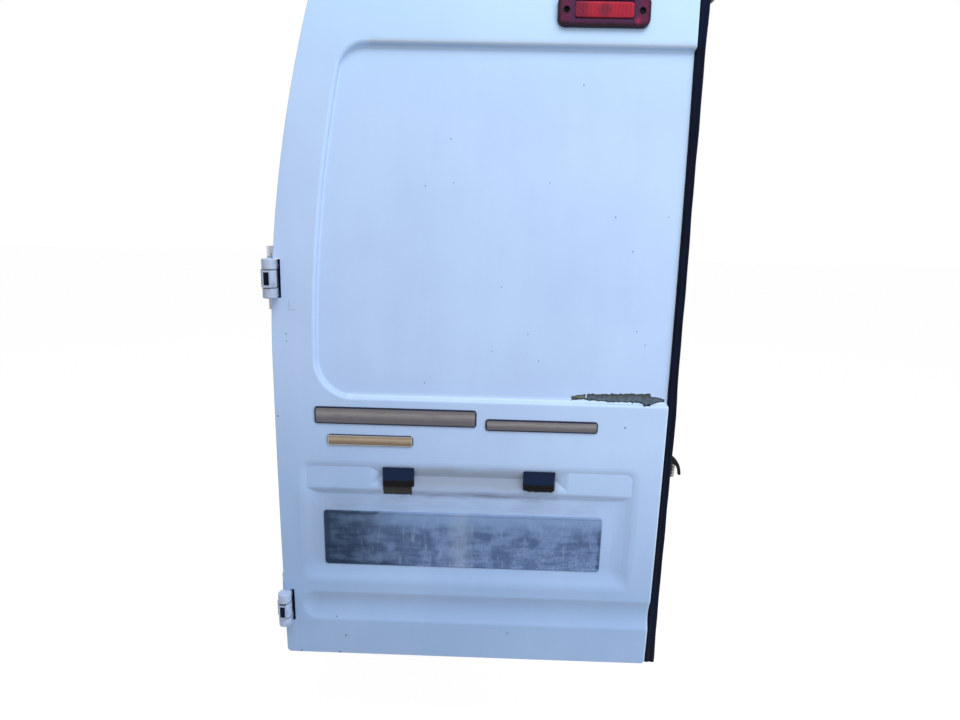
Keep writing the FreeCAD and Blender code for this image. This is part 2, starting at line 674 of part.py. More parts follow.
collar = band("opening_collar", opening("collar", "skin_gauge"), "return_depth", "door_depth")
flange = without(
    "inner_flange",
    band(
        "flange_solid", outline("flange", "flange_inset"), FLANGE_FRONT,
        f"{FLANGE_FRONT} + skin_gauge",
    ),
    outline("flange_inside", "wall_inset + skin_gauge"),
)
hat_shell = joined("hat_shell", without("hat_walls", hat, hollow), flange, collar)
flange_notches = joined(
    "flange_notches",
    box(
        "upper_flange_notch", "-overrun", "0", "upper_hinge - hinge_half - notch_margin",
        "wall_inset - notch_relief + overrun", "4 * overrun", "2 * (hinge_half + notch_margin)",
    ),
    box(
        "lower_flange_notch", "-overrun", "0", "lower_hinge - hinge_half - notch_margin",
        "wall_inset - notch_relief + overrun", "2 * overrun", "2 * (hinge_half + notch_margin)",
    ),
)
inner_panel = seat(without("inner_panel", hat_shell, opening("clear_opening", "0"), flange_notches))


def hinge(side, height):
    """Strap, buffer, leaf, pin and rubber filling of one hinge, drawn about the pin axis."""
    bore = "pin_radius + pin_clearance"
    # Strap bolted to the pillar: middle knuckle, arm, flange and the stop in front.
    knuckle = rod(side + "_strap_knuckle", "knuckle_radius", "2 * strap_half", z="-strap_half")
    arm = box(
        side + "_strap_arm", "-strap_offset", "0", "-strap_half",
        "strap_gauge", "flange_end", "2 * strap_half",
    )
    wing = box(
        side + "_strap_flange", "-strap_offset", "flange_start", "-flange_half",
        "strap_gauge", "flange_end - flange_start", "2 * flange_half",
    )
    stop = box(
        side + "_strap_stop", "-stop_width / 2", "-stop_reach", "-strap_half",
        "stop_width", "stop_reach", "2 * strap_half",
    )
    solid = joined(side + "_strap_solid", knuckle, arm, wing, stop)
    holes = [
        rod(
            f"{side}_bolt_{end}", "bolt_radius", "3 * strap_gauge", "-strap_offset - strap_gauge",
            FLANGE_MIDDLE, f"{way}bolt_circle / 2", along="X",
        )
        for end, way in [("high", ""), ("low", "-")]
    ]
    strap_bore = rod(side + "_strap_bore", bore, "4 * strap_half", z="-2 * strap_half")
    pocket = box(
        side + "_buffer_pocket", "-buffer_width / 2 - seat_gap", "-stop_reach - overrun",
        "-buffer_height / 2 - seat_gap", "buffer_width + 2 * seat_gap",
        "buffer_depth - buffer_proud + seat_gap + overrun", "buffer_height + 2 * seat_gap",
    )
    strap = without(side + "_hinge_strap", solid, strap_bore, pocket, *holes)
    buffer = box(
        side + "_hinge_buffer_block", "-buffer_width / 2", "-stop_reach - buffer_proud",
        "-buffer_height / 2", "buffer_width", "buffer_depth", "buffer_height",
    )
    buffer = rounded_corners(side + "_hinge_buffer", buffer, size("buffer_proud"))
    # Leaf bolted to the door: outer knuckles and a plate on the inner panel's wall.
    plate_x = "wall_inset - seat_gap - leaf_gauge - pin_inset"
    lug_start = "(strap_half + knuckle_gap)"
    top_lug = rod(side + "_top_lug", "knuckle_radius", f"hinge_half - {lug_start}", z=lug_start)
    low_lug = rod(side + "_low_lug", "knuckle_radius", f"hinge_half - {lug_start}", z="-hinge_half")
    plate = box(
        side + "_leaf_plate", plate_x, "0", "-hinge_half", "leaf_gauge", "leaf_end", "2 * hinge_half"
    )
    gap = box(
        side + "_leaf_gap", "-2 * knuckle_radius", "-overrun", f"-{lug_start}",
        "4 * knuckle_radius", "overrun + leaf_gap_end", f"2 * {lug_start}",
    )
    leaf_bore = rod(side + "_leaf_bore", bore, "4 * hinge_half", z="-2 * hinge_half")
    leaf_solid = joined(side + "_leaf_solid", top_lug, low_lug, plate)
    leaf = without(side + "_hinge_leaf", leaf_solid, leaf_bore, gap)
    # Pin with a flat head on the upper knuckle.
    shank = rod(side + "_pin_shank", "pin_radius", "2 * hinge_half", z="-hinge_half")
    head = rod(side + "_pin_head", "pin_head_radius", "pin_head_height", z="hinge_half")
    pin = joined(side + "_hinge_pin", shank, head)
    # Rubber filling between the leaf and the notch in the skin.
    outside = box(
        side + "_gasket_block", f"{plate_x} - leaf_gauge", "pin_standoff + gasket_sink",
        "-hinge_half - notch_margin + rubber_gap",
        f"notch_reach - pin_inset - rubber_gap - ({plate_x} - leaf_gauge)", "gasket_depth",
        "2 * (hinge_half + notch_margin - rubber_gap)",
    )
    room = box(
        side + "_gasket_room", "-2 * knuckle_radius", "-overrun", "-hinge_half - rubber_gap",
        f"2 * knuckle_radius + {plate_x} + leaf_gauge + rubber_gap", "3 * overrun",
        "2 * (hinge_half + rubber_gap)",
    )
    gasket = without(side + "_hinge_gasket", outside, room)
    pieces = [strap, buffer, leaf, pin, gasket]
    for piece in pieces:
        seat_on_axis(piece, height)
    return pieces


hinge_pieces = hinge("upper", "upper_hinge") + hinge("lower", "lower_hinge")

# Meeting seal: rubber strip along the free edge, with a foot behind the fold of the skin and a
# wider block at its top.
WALL_FACE = "door_width - wall_inset + seat_gap"
SEAL_INSIDE = "door_width + seat_gap"
SEAL_BACK = "seal_front + seal_thickness"


def seal_band(name, left, right, bottom, front, back):
    """Upright band of rubber from a height to the seal's top end, between two depths."""
    prism = box(
        name + "_prism", left, "-overrun", bottom, f"{right} - ({left})", "6 * overrun",
        f"door_height - seal_end_gap - ({bottom})",
    )
    return band(name, prism, front, back)


SEAL_EDGE = "door_width + seal_overhang"
seal_foot = seal_band("seal_foot", WALL_FACE, SEAL_EDGE, "seal_end_gap", "seal_front", SEAL_BACK)
seal_bulb = seal_band("seal_bulb", SEAL_INSIDE, SEAL_EDGE, "seal_end_gap", "seal_face", SEAL_BACK)
seal_edge = size("door_width") + size("seal_overhang")
lip = rounded(
    "seal_lip", joined("seal_section", seal_foot, seal_bulb), size("seal_lip_round"),
    lambda edge: abs(middle(edge).x - seal_edge) < size("seat_gap") and edge.Length > seal_edge,
)
block_band = seal_band(
    "seal_block", SEAL_INSIDE, "door_width + seal_block_overhang",
    "door_height - seal_end_gap - seal_block_height", "seal_face", f"{SEAL_BACK} + seal_block_extra",
)
meeting_seal = seat(joined("meeting_seal", lip, block_band))

# Striker: steel plate on the wall, bent wire loop and a plastic guide wedge above it.
STRIKER_Y = f"{face_depth('striker_height')} + striker_depth"
striker_plate = seat(
    box(
        "striker_plate", "0", "0", "0",
        "striker_plate_gauge", "striker_plate_width", "2 * striker_plate_half",
    ),
    WALL_FACE, f"{STRIKER_Y} - striker_plate_width / 2", "striker_height - striker_plate_half",
)
PLATE_FACE = f"{WALL_FACE} + striker_plate_gauge"
ARM_LENGTH = f"door_width + striker_overhang - ({PLATE_FACE}) - striker_wire"
arms = [
    rod("striker_arm_" + end, "striker_wire", ARM_LENGTH, z=height, along="X")
    for end, height in [("high", "striker_span"), ("low", "0")]
]
bar = rod("striker_bar", "striker_wire", "striker_span", ARM_LENGTH)
knees = []
for end, height in [("high", "striker_span"), ("low", "0")]:
    knee = doc.addObject("Part::Sphere", "striker_knee_" + end)
    bind(knee, Radius="striker_wire", Placement__Base__x=ARM_LENGTH, Placement__Base__z=height)
    knees.append(knee)
striker_loop = seat(
    joined("striker_loop", *arms, bar, *knees),
    PLATE_FACE, STRIKER_Y, "striker_height - striker_span",
)
wedge = doc.addObject("Part::Wedge", "striker_wedge")
WEDGE_LENGTH = f"door_width + wedge_overhang - ({PLATE_FACE})"
bind(wedge, Xmin="0", Xmax="wedge_height", X2min="0", X2max="wedge_nose")
bind(wedge, Ymin="0", Ymax=WEDGE_LENGTH)
bind(wedge, Zmin="0", Zmax="striker_plate_width", Z2min="0", Z2max="striker_plate_width")
# The wedge is drawn along Y with its height on X, then turned to lie along X.
wedge.Placement = FreeCAD.Placement(
    FreeCAD.Vector(), FreeCAD.Rotation(FreeCAD.Vector(1, 1, 1), 120).inverted()
)
WEDGE_FOOT = "striker_wire + seat_gap"
bind(
    wedge, Placement__Base__x=f"{PLATE_FACE} - {ORIGIN_X}",
    Placement__Base__y=f"{STRIKER_Y} - striker_plate_width / 2 - {ORIGIN_Y}",
    Placement__Base__z=f"striker_height + {WEDGE_FOOT} - {ORIGIN_Z}",
)

# High brake lamp: housing on a rubber gasket, with the red lens let into its front.
gasket = rounded_block(
    "brake_lamp_gasket", "brake_lamp_width", "-brake_gasket_gauge - seat_gap",
    "brake_gasket_gauge", "brake_lamp_height", "brake_lamp_corner",
)
HOUSING_FRONT = "-(brake_gasket_gauge + seat_gap + brake_lamp_depth)"
front_y = -(size("brake_gasket_gauge") + size("seat_gap") + size("brake_lamp_depth"))
housing = rounded(
    "brake_housing_front",
    rounded_block(
        "brake_housing", "brake_lamp_width", HOUSING_FRONT, "brake_lamp_depth",
        "brake_lamp_height", "brake_lamp_corner",
    ),
    size("brake_lamp_edge"),
    lambda edge: abs(middle(edge).y - front_y) < size("pin_clearance"),
)
LENS_FRONT = f"{HOUSING_FRONT} - brake_lens_proud"
lens_pocket = rounded_block(
    "brake_lens_pocket", "brake_lens_width + 2 * seat_gap", LENS_FRONT,
    "brake_lens_depth + seat_gap", "brake_lens_height + 2 * seat_gap", "brake_lamp_edge",
)
wells = []
for end, way in [("left", "-"), ("right", "")]:
    well = doc.addObject("Part::Cylinder", "brake_well_" + end)
    well.Placement = FreeCAD.Placement(FreeCAD.Vector(), FreeCAD.Rotation(ACROSS, -90))
    bind(well, Radius="brake_screw_radius", Height="brake_screw_depth + overrun")
    bind(well, Placement__Base__x=f"{way}brake_screw_span / 2")
    bind(well, Placement__Base__y=f"{HOUSING_FRONT} - overrun")
    wells.append(well)
brake_lamp_housing = without("brake_lamp_housing", housing, lens_pocket, *wells)
lens_y = front_y - size("brake_lens_proud")
brake_lamp_lens = rounded(
    "brake_lamp_lens",
    rounded_block(
        "brake_lens", "brake_lens_width", LENS_FRONT, "brake_lens_depth",
        "brake_lens_height", "brake_lamp_edge",
    ),
    size("brake_lens_edge"),
    lambda edge: abs(middle(edge).y - lens_y) < size("pin_clearance"),
)
brake_pieces = [gasket, brake_lamp_housing, brake_lamp_lens]
for piece in brake_pieces:
    seat_on_face(piece, "door_width - brake_lamp_inset", "door_height - brake_lamp_drop")


# The housing's underside rises from its foot on the brow to its nose: the lens sits in that slope.
LAMP_NOSE = "(plate_lamp_nose_rise - plate_lamp_height / 2)"
LAMP_BACK = "(brow_depth - seat_gap)"
UNDERSIDE_SLOPE = f"atan(plate_lamp_nose_rise / (plate_lamp_proud + {LAMP_BACK}))"
UNDERSIDE_Y = f"{face_depth(TROUGH_MIDDLE)} + ({LAMP_BACK} - plate_lamp_proud) / 2"
UNDERSIDE_Z = f"{TROUGH_MIDDLE} + ({LAMP_NOSE} - plate_lamp_height / 2) / 2"


def lens_block(name, gap, proud):
    """Round-cornered block centred on the underside, its outer face turned down."""
    block = box(
        name + "_block", f"-plate_lens_width / 2 - {gap}", f"-plate_lens_depth / 2 - {gap}",
        f"-({proud})", f"plate_lens_width + 2 * {gap}", f"plate_lens_depth + 2 * {gap}",
        f"plate_lens_gauge - plate_lens_proud + {proud} + {gap}",
    )
    return rounded(
        name, block, size("plate_lens_corner"),
        lambda edge: abs(edge.tangentAt(edge.FirstParameter).z) > STRAIGHT,
    )


def plate_lamp(side, x):
    """Tapered lamp housing with a plug in the trough and its lens in the underside."""
    body = doc.addObject("Part::Wedge", f"plate_lamp_body_{side}")
    bind(body, Xmin="-plate_lamp_nose_width / 2", Xmax="plate_lamp_nose_width / 2")
    bind(body, X2min="-plate_lamp_width / 2", X2max="plate_lamp_width / 2")
    bind(body, Zmin=LAMP_NOSE, Zmax=f"{LAMP_NOSE} + plate_lamp_nose_height")
    bind(body, Z2min="-plate_lamp_height / 2", Z2max="plate_lamp_height / 2")
    bind(body, Ymin="-plate_lamp_proud", Ymax=LAMP_BACK)
    face = size("brow_depth") - size("seat_gap")
    front = rounded(
        f"plate_lamp_front_{side}", body, size("plate_lamp_edge"),
        lambda edge: middle(edge).y < face - size("seat_gap"),
    )
    place(front, x, face_depth(TROUGH_MIDDLE), TROUGH_MIDDLE)
    slice_of_trough = box(
        f"plate_lamp_slice_{side}", f"{x} - plate_lamp_nose_width / 2",
        f"{face_depth(TROUGH_MIDDLE)}", f"{TROUGH_MIDDLE} - plate_lamp_height / 2",
        "plate_lamp_nose_width", "2 * overrun", "plate_lamp_height",
    )
    plug = shared(
        f"plate_lamp_plug_{side}", trough(f"plate_lamp_fill_{side}", "-2 * seat_gap"),
        slice_of_trough,
    )
    socket = place(
        lens_block(f"plate_lamp_socket_{side}", "seat_gap", "overrun"),
        x, UNDERSIDE_Y, UNDERSIDE_Z, UNDERSIDE_SLOPE,
    )
    housing = without(
        f"plate_lamp_housing_{side}", joined(f"plate_lamp_solid_{side}", front, plug), socket
    )
    glass = lens_block(f"plate_lamp_lens_{side}", "0", "plate_lens_proud")
    return [seat(housing), seat(glass, x, UNDERSIDE_Y, UNDERSIDE_Z, UNDERSIDE_SLOPE)]


left_lamp = plate_lamp("left", "(door_width / 2 - plate_lamp_span / 2)")
right_lamp = plate_lamp("right", "(door_width / 2 + plate_lamp_span / 2)")

# Number plate: blank sheet on the floor of its recess.
number_plate = rounded_block(
    "number_plate", "plate_width", "bay_depth - seat_gap - plate_gauge", "plate_gauge",
    "plate_height", "strip_corner",
)
seat_on_face(
    number_plate, "bay_margin + plate_inset + plate_width / 2",
    "bay_bottom + plate_rise + plate_height / 2",
)


def name_strip(name):
    """Blank strip glued to the outer face."""
    strip = rounded_block(
        name, name + "_width", "-strip_gauge - seat_gap", "strip_gauge", name + "_height",
        "strip_corner",
    )
    return seat_on_face(strip, f"{name}_left + {name}_width / 2", f"{name}_z")


strips = [name_strip(name) for name in ("long_strip", "short_strip", "grade_strip")]

# Lower trim panel: moulded board on the inner face.
trim_prism = box(
    "trim_prism", "trim_margin", "0", "trim_bottom", "door_width - 2 * trim_margin", "5 * overrun",
    "opening_bottom - trim_drop - trim_bottom",
)
lower_trim_panel = seat(
    band(
        "lower_trim_panel", rounded_corners("trim_outline", trim_prism, size("trim_corner")),
        "door_depth + seat_gap", "door_depth + seat_gap + trim_gauge",
    )
)

# Release handle: lever let into a bezel on the inner face.
BEZEL_FRONT = "door_depth + seat_gap"
bezel_block = rounded_block(
    "bezel", "bezel_width", BEZEL_FRONT, "bezel_depth", "bezel_height", "bezel_corner"
)
handle_room = box(
    "handle_room", "-handle_width / 2 - handle_clearance", f"{BEZEL_FRONT} + bezel_depth / 2",
    "-handle_height / 2 - handle_clearance", "handle_width + 2 * handle_clearance",
    "bezel_depth", "handle_height + 2 * handle_clearance",
)
release_bezel = without("release_bezel", bezel_block, handle_room)
release_handle = rounded_block(
    "release_handle", "handle_width", f"{BEZEL_FRONT} + bezel_depth / 2 + seat_gap",
    "handle_depth", "handle_height", "brake_lamp_edge",
)
for piece in (release_bezel, release_handle):
    seat_on_face(piece, "door_width - handle_inset", "handle_z")


def catch(name, height):
    """Steel catch on the inner face, slotted for its striker."""
    block = box(
        name + "_block", "-catch_width / 2", "door_depth + seat_gap", "-catch_height / 2",
        "catch_width", "catch_depth", "catch_height",
    )
    mouth = box(
        name + "_mouth", "-catch_mouth / 2", "door_depth + seat_gap + catch_depth / 3",
        "-catch_height", "catch_mouth", "catch_depth", "catch_height + catch_mouth_top",
    )
    return seat_on_face(without(name, block, mouth), "door_width - catch_inset", height)


upper_catch = catch("upper_catch", "door_height - upper_catch_drop")
lower_catch = catch("lower_catch", "lower_catch_z")

# Wiring grommet: rubber bush in the hinge-side wall.
rim_bush = rod("grommet_rim_bush", "grommet_radius", "grommet_rim", "-grommet_rim", along="X")
neck = rod("grommet_neck_bush", "grommet_neck_radius", "grommet_neck", "-grommet_neck", along="X")
hole = rod("grommet_hole", "grommet_bore", "3 * grommet_neck", "-2 * grommet_neck", along="X")
wiring_grommet = seat(
    without("wiring_grommet", joined("grommet_solid", rim_bush, neck), hole),
    "wall_inset - seat_gap", f"{face_depth('grommet_z')} + grommet_depth", "grommet_z",
)

NODES = {
    "outer_skin": outer_skin,
    "inner_panel": inner_panel,
    "upper_hinge_strap": hinge_pieces[0],
    "upper_hinge_buffer": hinge_pieces[1],
    "upper_hinge_leaf": hinge_pieces[2],
    "upper_hinge_pin": hinge_pieces[3],
    "upper_hinge_gasket": hinge_pieces[4],
    "lower_hinge_strap": hinge_pieces[5],
    "lower_hinge_buffer": hinge_pieces[6],
    "lower_hinge_leaf": hinge_pieces[7],
    "lower_hinge_pin": hinge_pieces[8],
    "lower_hinge_gasket": hinge_pieces[9],
    "meeting_seal": meeting_seal,
    "striker_plate": striker_plate,
    "striker_loop": striker_loop,
    "striker_wedge": wedge,
    "brake_lamp_gasket": gasket,
    "brake_lamp_housing": brake_lamp_housing,
    "brake_lamp_lens": brake_lamp_lens,
    "plate_lamp_housing_left": left_lamp[0],
    "plate_lamp_lens_left": left_lamp[1],
    "plate_lamp_housing_right": right_lamp[0],
    "plate_lamp_lens_right": right_lamp[1],
    "number_plate": number_plate,
    "long_name_strip": strips[0],
    "short_name_strip": strips[1],
    "grade_strip": strips[2],
    "lower_trim_panel": lower_trim_panel,
    "release_bezel": release_bezel,
    "release_handle": release_handle,
    "upper_catch": upper_catch,
    "lower_catch": lower_catch,
    "wiring_grommet": wiring_grommet,
}

doc.recompute()
for item in doc.Objects:
    if "Invalid" in item.State or "Error" in item.State:
        raise RuntimeError(f"{item.Label} did not build: {item.State}")
os.makedirs("parts", exist_ok=True)
for name, item in NODES.items():
    item.Label = name
    shape = item.Shape
    if shape.isNull() or not shape.isValid() or len(shape.Solids) != 1:
        raise RuntimeError(f"{name} is not one sound solid")
    shape.exportStep(f"parts/{name}.step")
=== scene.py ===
import bpy
import numpy as np
from mathutils import Matrix, Vector


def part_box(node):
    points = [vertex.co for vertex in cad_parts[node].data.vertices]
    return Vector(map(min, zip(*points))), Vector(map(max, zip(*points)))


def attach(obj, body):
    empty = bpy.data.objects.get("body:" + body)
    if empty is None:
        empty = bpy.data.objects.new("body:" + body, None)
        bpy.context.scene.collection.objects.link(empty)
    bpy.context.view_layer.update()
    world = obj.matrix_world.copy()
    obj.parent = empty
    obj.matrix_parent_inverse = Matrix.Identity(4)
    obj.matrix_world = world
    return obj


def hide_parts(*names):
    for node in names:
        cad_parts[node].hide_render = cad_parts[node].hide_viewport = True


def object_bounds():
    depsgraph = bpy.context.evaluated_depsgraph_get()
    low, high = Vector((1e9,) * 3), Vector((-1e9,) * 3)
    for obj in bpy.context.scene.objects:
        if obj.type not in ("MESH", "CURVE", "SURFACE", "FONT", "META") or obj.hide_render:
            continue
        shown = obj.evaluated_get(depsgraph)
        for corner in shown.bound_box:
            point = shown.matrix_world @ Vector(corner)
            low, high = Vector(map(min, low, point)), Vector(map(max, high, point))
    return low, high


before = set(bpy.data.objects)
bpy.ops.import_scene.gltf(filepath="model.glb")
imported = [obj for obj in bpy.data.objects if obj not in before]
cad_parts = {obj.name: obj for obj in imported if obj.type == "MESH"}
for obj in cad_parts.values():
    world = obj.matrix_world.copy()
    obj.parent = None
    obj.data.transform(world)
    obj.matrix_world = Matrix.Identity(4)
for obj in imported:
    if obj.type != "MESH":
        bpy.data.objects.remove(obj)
cad_low, cad_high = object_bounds()
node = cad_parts

# Outer skin: one barrel-curved steel pressing, with the blank window recess, the number plate
# recess and the lower bead stamped into it. Its edge is folded round the inner panel, and it is
# sprayed in a pale blue gloss that is chipped, dull at the foot and peeled under the window.
# Painted shade darkens its colour towards the foot.
skin_low, skin_high = (np.array(corner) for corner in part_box("outer_skin"))
FACE_CURVE = 11.2
PAINT_CLEAN = (0.447, 0.610, 0.900, 1)
PAINT_FADED = (0.412, 0.562, 0.848, 1)
PAINT_FOOT_SHADE = (0.280, 0.425, 0.700, 1)
PAINT_HIGHLIGHT = (0.640, 0.800, 0.980, 1)
PAINT_LIT_TOP = (0.428, 0.650, 0.905, 1)
BARE_METAL = (0.030, 0.036, 0.050, 1)
PAINT_COAT = 0.4
FOOT_TONE_START = 0.25
FOOT_TONE_RISE = 0.40
# Stone chips: place on the door from the hinge edge and from the bottom edge, and radius.
CHIPS = [
    (0.308, 0.963, 0.0012), (0.266, 0.887, 0.0010), (0.524, 1.051, 0.0013),
    (0.588, 0.843, 0.0012), (0.677, 0.845, 0.0010), (0.621, 0.787, 0.0012),
    (0.314, 0.893, 0.0009), (0.475, 0.896, 0.0009), (0.399, 0.722, 0.0010),
    (0.448, 0.642, 0.0010), (0.386, 0.610, 0.0009), (0.637, 0.651, 0.0011),
    (0.469, 0.595, 0.0010), (0.653, 0.628, 0.0010), (0.626, 0.481, 0.0016),
    (0.026, 0.633, 0.0014), (0.027, 0.620, 0.0011), (0.268, 0.550, 0.0011),
    (0.006, 0.484, 0.0017), (0.100, 0.081, 0.0013), (0.117, 0.041, 0.0019),
    (0.431, 0.059, 0.0014), (0.028, 0.003, 0.0020), (0.104, 0.003, 0.0022),
]


def add(tree, kind, inputs=None, **settings):
    """Shader node of one kind; an input is a value, or the output of another node."""
    made = tree.nodes.new("ShaderNode" + kind)
    for name, value in settings.items():
        setattr(made, name, value)
    for name, value in (inputs or {}).items():
        if isinstance(value, bpy.types.NodeSocket):
            tree.links.new(value, made.inputs[name])
        else:
            made.inputs[name].default_value = value
    return made


def sum_of(tree, operation, first, second=0.0, third=0.0):
    """One step of arithmetic on values."""
    inputs = {0: first, 1: second, 2: third}
    return add(tree, "Math", inputs, operation=operation).outputs[0]


def scaled(tree, mask, share):
    """Mask brought down to a share of itself; the share may be a mask too."""
    return sum_of(tree, "MULTIPLY", mask, share)


def stronger(tree, first, second):
    """The stronger of two masks at each place."""
    return sum_of(tree, "MAXIMUM", first, second)


def mixed(tree, share, first, second):
    """Colour that goes from the first to the second with a share."""
    inputs = {0: share, 6: first, 7: second}
    return add(tree, "Mix", inputs, data_type="RGBA").outputs[2]


def ranged(tree, value, low, high, start=0.0, end=1.0):
    """Value carried from low..high to start..end in a soft step, and held there."""
    inputs = {"From Min": low, "From Max": high, "To Min": start, "To Max": end, "Value": value}
    return add(tree, "MapRange", inputs, interpolation_type="SMOOTHSTEP").outputs[0]


def noise(tree, place, scale, detail=3.0, stretch=None):
    """Cloudy values about one half, stretched along the axes if asked."""
    if stretch:
        place = add(tree, "Mapping", {"Vector": place, "Scale": stretch}).outputs[0]
    return add(tree, "TexNoise", {"Vector": place, "Scale": scale, "Detail": detail}).outputs[0]


def finish_new(name, **values):
    """Material with a Principled BSDF that has these constant values, and its tree and shader."""
    made = bpy.data.materials.new(name)
    made.use_nodes = True
    shader = made.node_tree.nodes["Principled BSDF"]
    for socket, value in values.items():
        shader.inputs[socket.replace("_", " ")].default_value = value
    return made, made.node_tree, shader


def feed(tree, shader, height=None, strength=0.1, distance=0.001, **outputs):
    """Lead outputs into the shader's sockets, and a height through a bump into its normal."""
    for socket, output in outputs.items():
        tree.links.new(output, shader.inputs[socket.replace("_", " ")])
    if height:
        inputs = {"Height": height, "Strength": strength, "Distance": distance}
        tree.links.new(add(tree, "Bump", inputs).outputs[0], shader.inputs["Normal"])


def group_new(name, inputs, outputs):
    """Empty shader node group that takes a Vector and numbers and gives values, and its ends."""
    tree = bpy.data.node_groups.new(name, "ShaderNodeTree")
    tree.interface.new_socket("Vector", in_out="INPUT", socket_type="NodeSocketVector")
    for label, value in inputs.items():
        socket = tree.interface.new_socket(label, in_out="INPUT", socket_type="NodeSocketFloat")
        socket.default_value = value
    for label in outputs:
        tree.interface.new_socket(label, in_out="OUTPUT", socket_type="NodeSocketFloat")
    return tree, tree.nodes.new("NodeGroupInput").outputs, tree.nodes.new("NodeGroupOutput").inputs


def grouped(tree, group, place, **inputs):
    """Placed copy of a group with its own values."""
    made = tree.nodes.new("ShaderNodeGroup")
    made.node_tree = group
    tree.links.new(place, made.inputs["Vector"])
    for name, value in inputs.items():
        made.inputs[name.replace("_", " ")].default_value = value
    return made.outputs


def on_door(tree):
    """Place measured from the low corner of the door: x across, y inwards, z up, in metres."""
    row = add(tree, "TexCoord").outputs["Object"]
    inputs = {"Vector": row, "Location": tuple(-skin_low)}
    return add(tree, "Mapping", inputs).outputs[0]


def ragged(tree, place, reach, scale):
    """Place shaken by cloudy noise, so that marks drawn from it get ragged edges."""
    cloud = add(tree, "TexNoise", {"Vector": place, "Scale": scale, "Detail": 4}).outputs["Color"]
    centred = add(tree, "VectorMath", {0: cloud, 1: (0.5, 0.5, 0.5)}, operation="SUBTRACT")
    shaken = {0: centred.outputs[0], 1: (reach, reach, reach), 2: place}
    return add(tree, "VectorMath", shaken, operation="MULTIPLY_ADD").outputs[0]


# Mask that grows below a height and towards the hinges, cloudy. On the door's paint it brings in
# painted shade, and the outer skin is also rougher under it.
FILM_SLANT = 0.24
film_tree, film_in, film_out = group_new(
    "clinging_film", {"Foot": 0.0, "Rise": 0.4}, ["Mask", "Cloud"]
)
film_axes = add(film_tree, "SeparateXYZ", {0: film_in["Vector"]}).outputs
film_height = sum_of(film_tree, "MULTIPLY_ADD", film_axes[0], FILM_SLANT, film_axes[2])
film_cloud = noise(film_tree, film_in["Vector"], 5.0, 5.0)
film_runs = noise(film_tree, film_in["Vector"], 1.0, 3.0, (30, 30, 4))
above_foot = sum_of(film_tree, "SUBTRACT", film_height, film_in["Foot"])
share_up = sum_of(film_tree, "DIVIDE", above_foot, film_in["Rise"])
low_down = ranged(film_tree, share_up, 0.0, 1.0, 1.0, 0.0)
cloud_sum = sum_of(film_tree, "MULTIPLY_ADD", film_runs, 0.3, film_cloud)
cloud_share = ranged(film_tree, cloud_sum, 0.45, 0.85)
held_film = sum_of(film_tree, "MULTIPLY_ADD", cloud_share, 0.2, 0.8)
film_tree.links.new(scaled(film_tree, low_down, held_film), film_out["Mask"])
film_tree.links.new(cloud_share, film_out["Cloud"])

# Square mark on the door's face with a soft edge, narrowing or widening along its length.
patch_tree, patch_in, patch_out = group_new(
    "square_mark",
    {"X": 0.0, "Z": 0.0, "Half X": 0.01, "Half Z": 0.01, "Edge": 0.001, "Taper": 0.0}, ["Mask"],
)
patch_axes = add(patch_tree, "SeparateXYZ", {0: patch_in["Vector"]}).outputs
patch_x = sum_of(patch_tree, "SUBTRACT", patch_axes[0], patch_in["X"])
patch_z = sum_of(patch_tree, "SUBTRACT", patch_axes[2], patch_in["Z"])
patch_far = sum_of(patch_tree, "ABSOLUTE", patch_x)
patch_side = sum_of(patch_tree, "SUBTRACT", patch_far, patch_in["Half X"])
patch_wide = sum_of(patch_tree, "MULTIPLY_ADD", patch_x, patch_in["Taper"], patch_in["Half Z"])
patch_high = sum_of(patch_tree, "ABSOLUTE", patch_z)
patch_rise = sum_of(patch_tree, "SUBTRACT", patch_high, patch_wide)
patch_past = stronger(patch_tree, patch_side, patch_rise)
patch_share = sum_of(patch_tree, "DIVIDE", patch_past, patch_in["Edge"])
patch_tree.links.new(ranged(patch_tree, patch_share, -1.0, 1.0, 1.0, 0.0), patch_out["Mask"])


def squares(tree, place, edge, *marks):
    """Mask of square marks on the face: (x, z, half width, half height), and a taper if any."""
    total = 0.0
    for x, z, half_x, half_z, *taper in marks:
        inputs = {"X": x, "Z": z, "Half_X": half_x, "Half_Z": half_z, "Edge": edge}
        mask = grouped(tree, patch_tree, place, Taper=sum(taper), **inputs)["Mask"]
        total = stronger(tree, total, mask)
    return total


def spots(tree, place, edge, *marks):
    """Mask of round marks on the face, each (x, z, radius)."""
    flat = add(tree, "VectorMath", {0: place, 1: (1, 0, 1)}, operation="MULTIPLY").outputs[0]
    past = 1.0
    for x, z, radius in marks:
        away = add(tree, "VectorMath", {0: flat, 1: (x, 0, z)}, operation="DISTANCE")
        past = sum_of(tree, "MINIMUM", past, sum_of(tree, "SUBTRACT", away.outputs["Value"], radius))
    return ranged(tree, past, -edge, edge, 1.0, 0.0)


def paint_new(name, clean, faded, foot_tone):
    """Gloss paint, with its place on the door, its colour, its foot share and its orange peel.

    Low down the colour goes to the foot tone, which on the door's paint is painted shade.
    """
    made, tree, shader = finish_new(name, Coat_Weight=PAINT_COAT, Coat_Roughness=0.2, IOR=1.5)
    place = on_door(tree)
    film = grouped(tree, film_tree, place, Foot=FOOT_TONE_START, Rise=FOOT_TONE_RISE)
    colour = mixed(tree, film["Mask"], mixed(tree, film["Cloud"], clean, faded), foot_tone)
    waves = noise(tree, place, 8.0, 1.0)
    peel = sum_of(tree, "MULTIPLY_ADD", waves, 9.0, noise(tree, place, 420.0, 2.0))
    return made, tree, shader, place, colour, film["Mask"], peel


def paint_node(material, *names):
    """Give CAD nodes one finish."""
    for name in names:
        slots = node[name].data.materials
        slots.clear()
        slots.append(material)


body_paint, tree, shader, place, colour, foot_tone, peel = paint_new(
    "body_paint", PAINT_CLEAN, PAINT_FADED, PAINT_FOOT_SHADE
)
across, inward, upward = add(tree, "SeparateXYZ", {0: place}).outputs
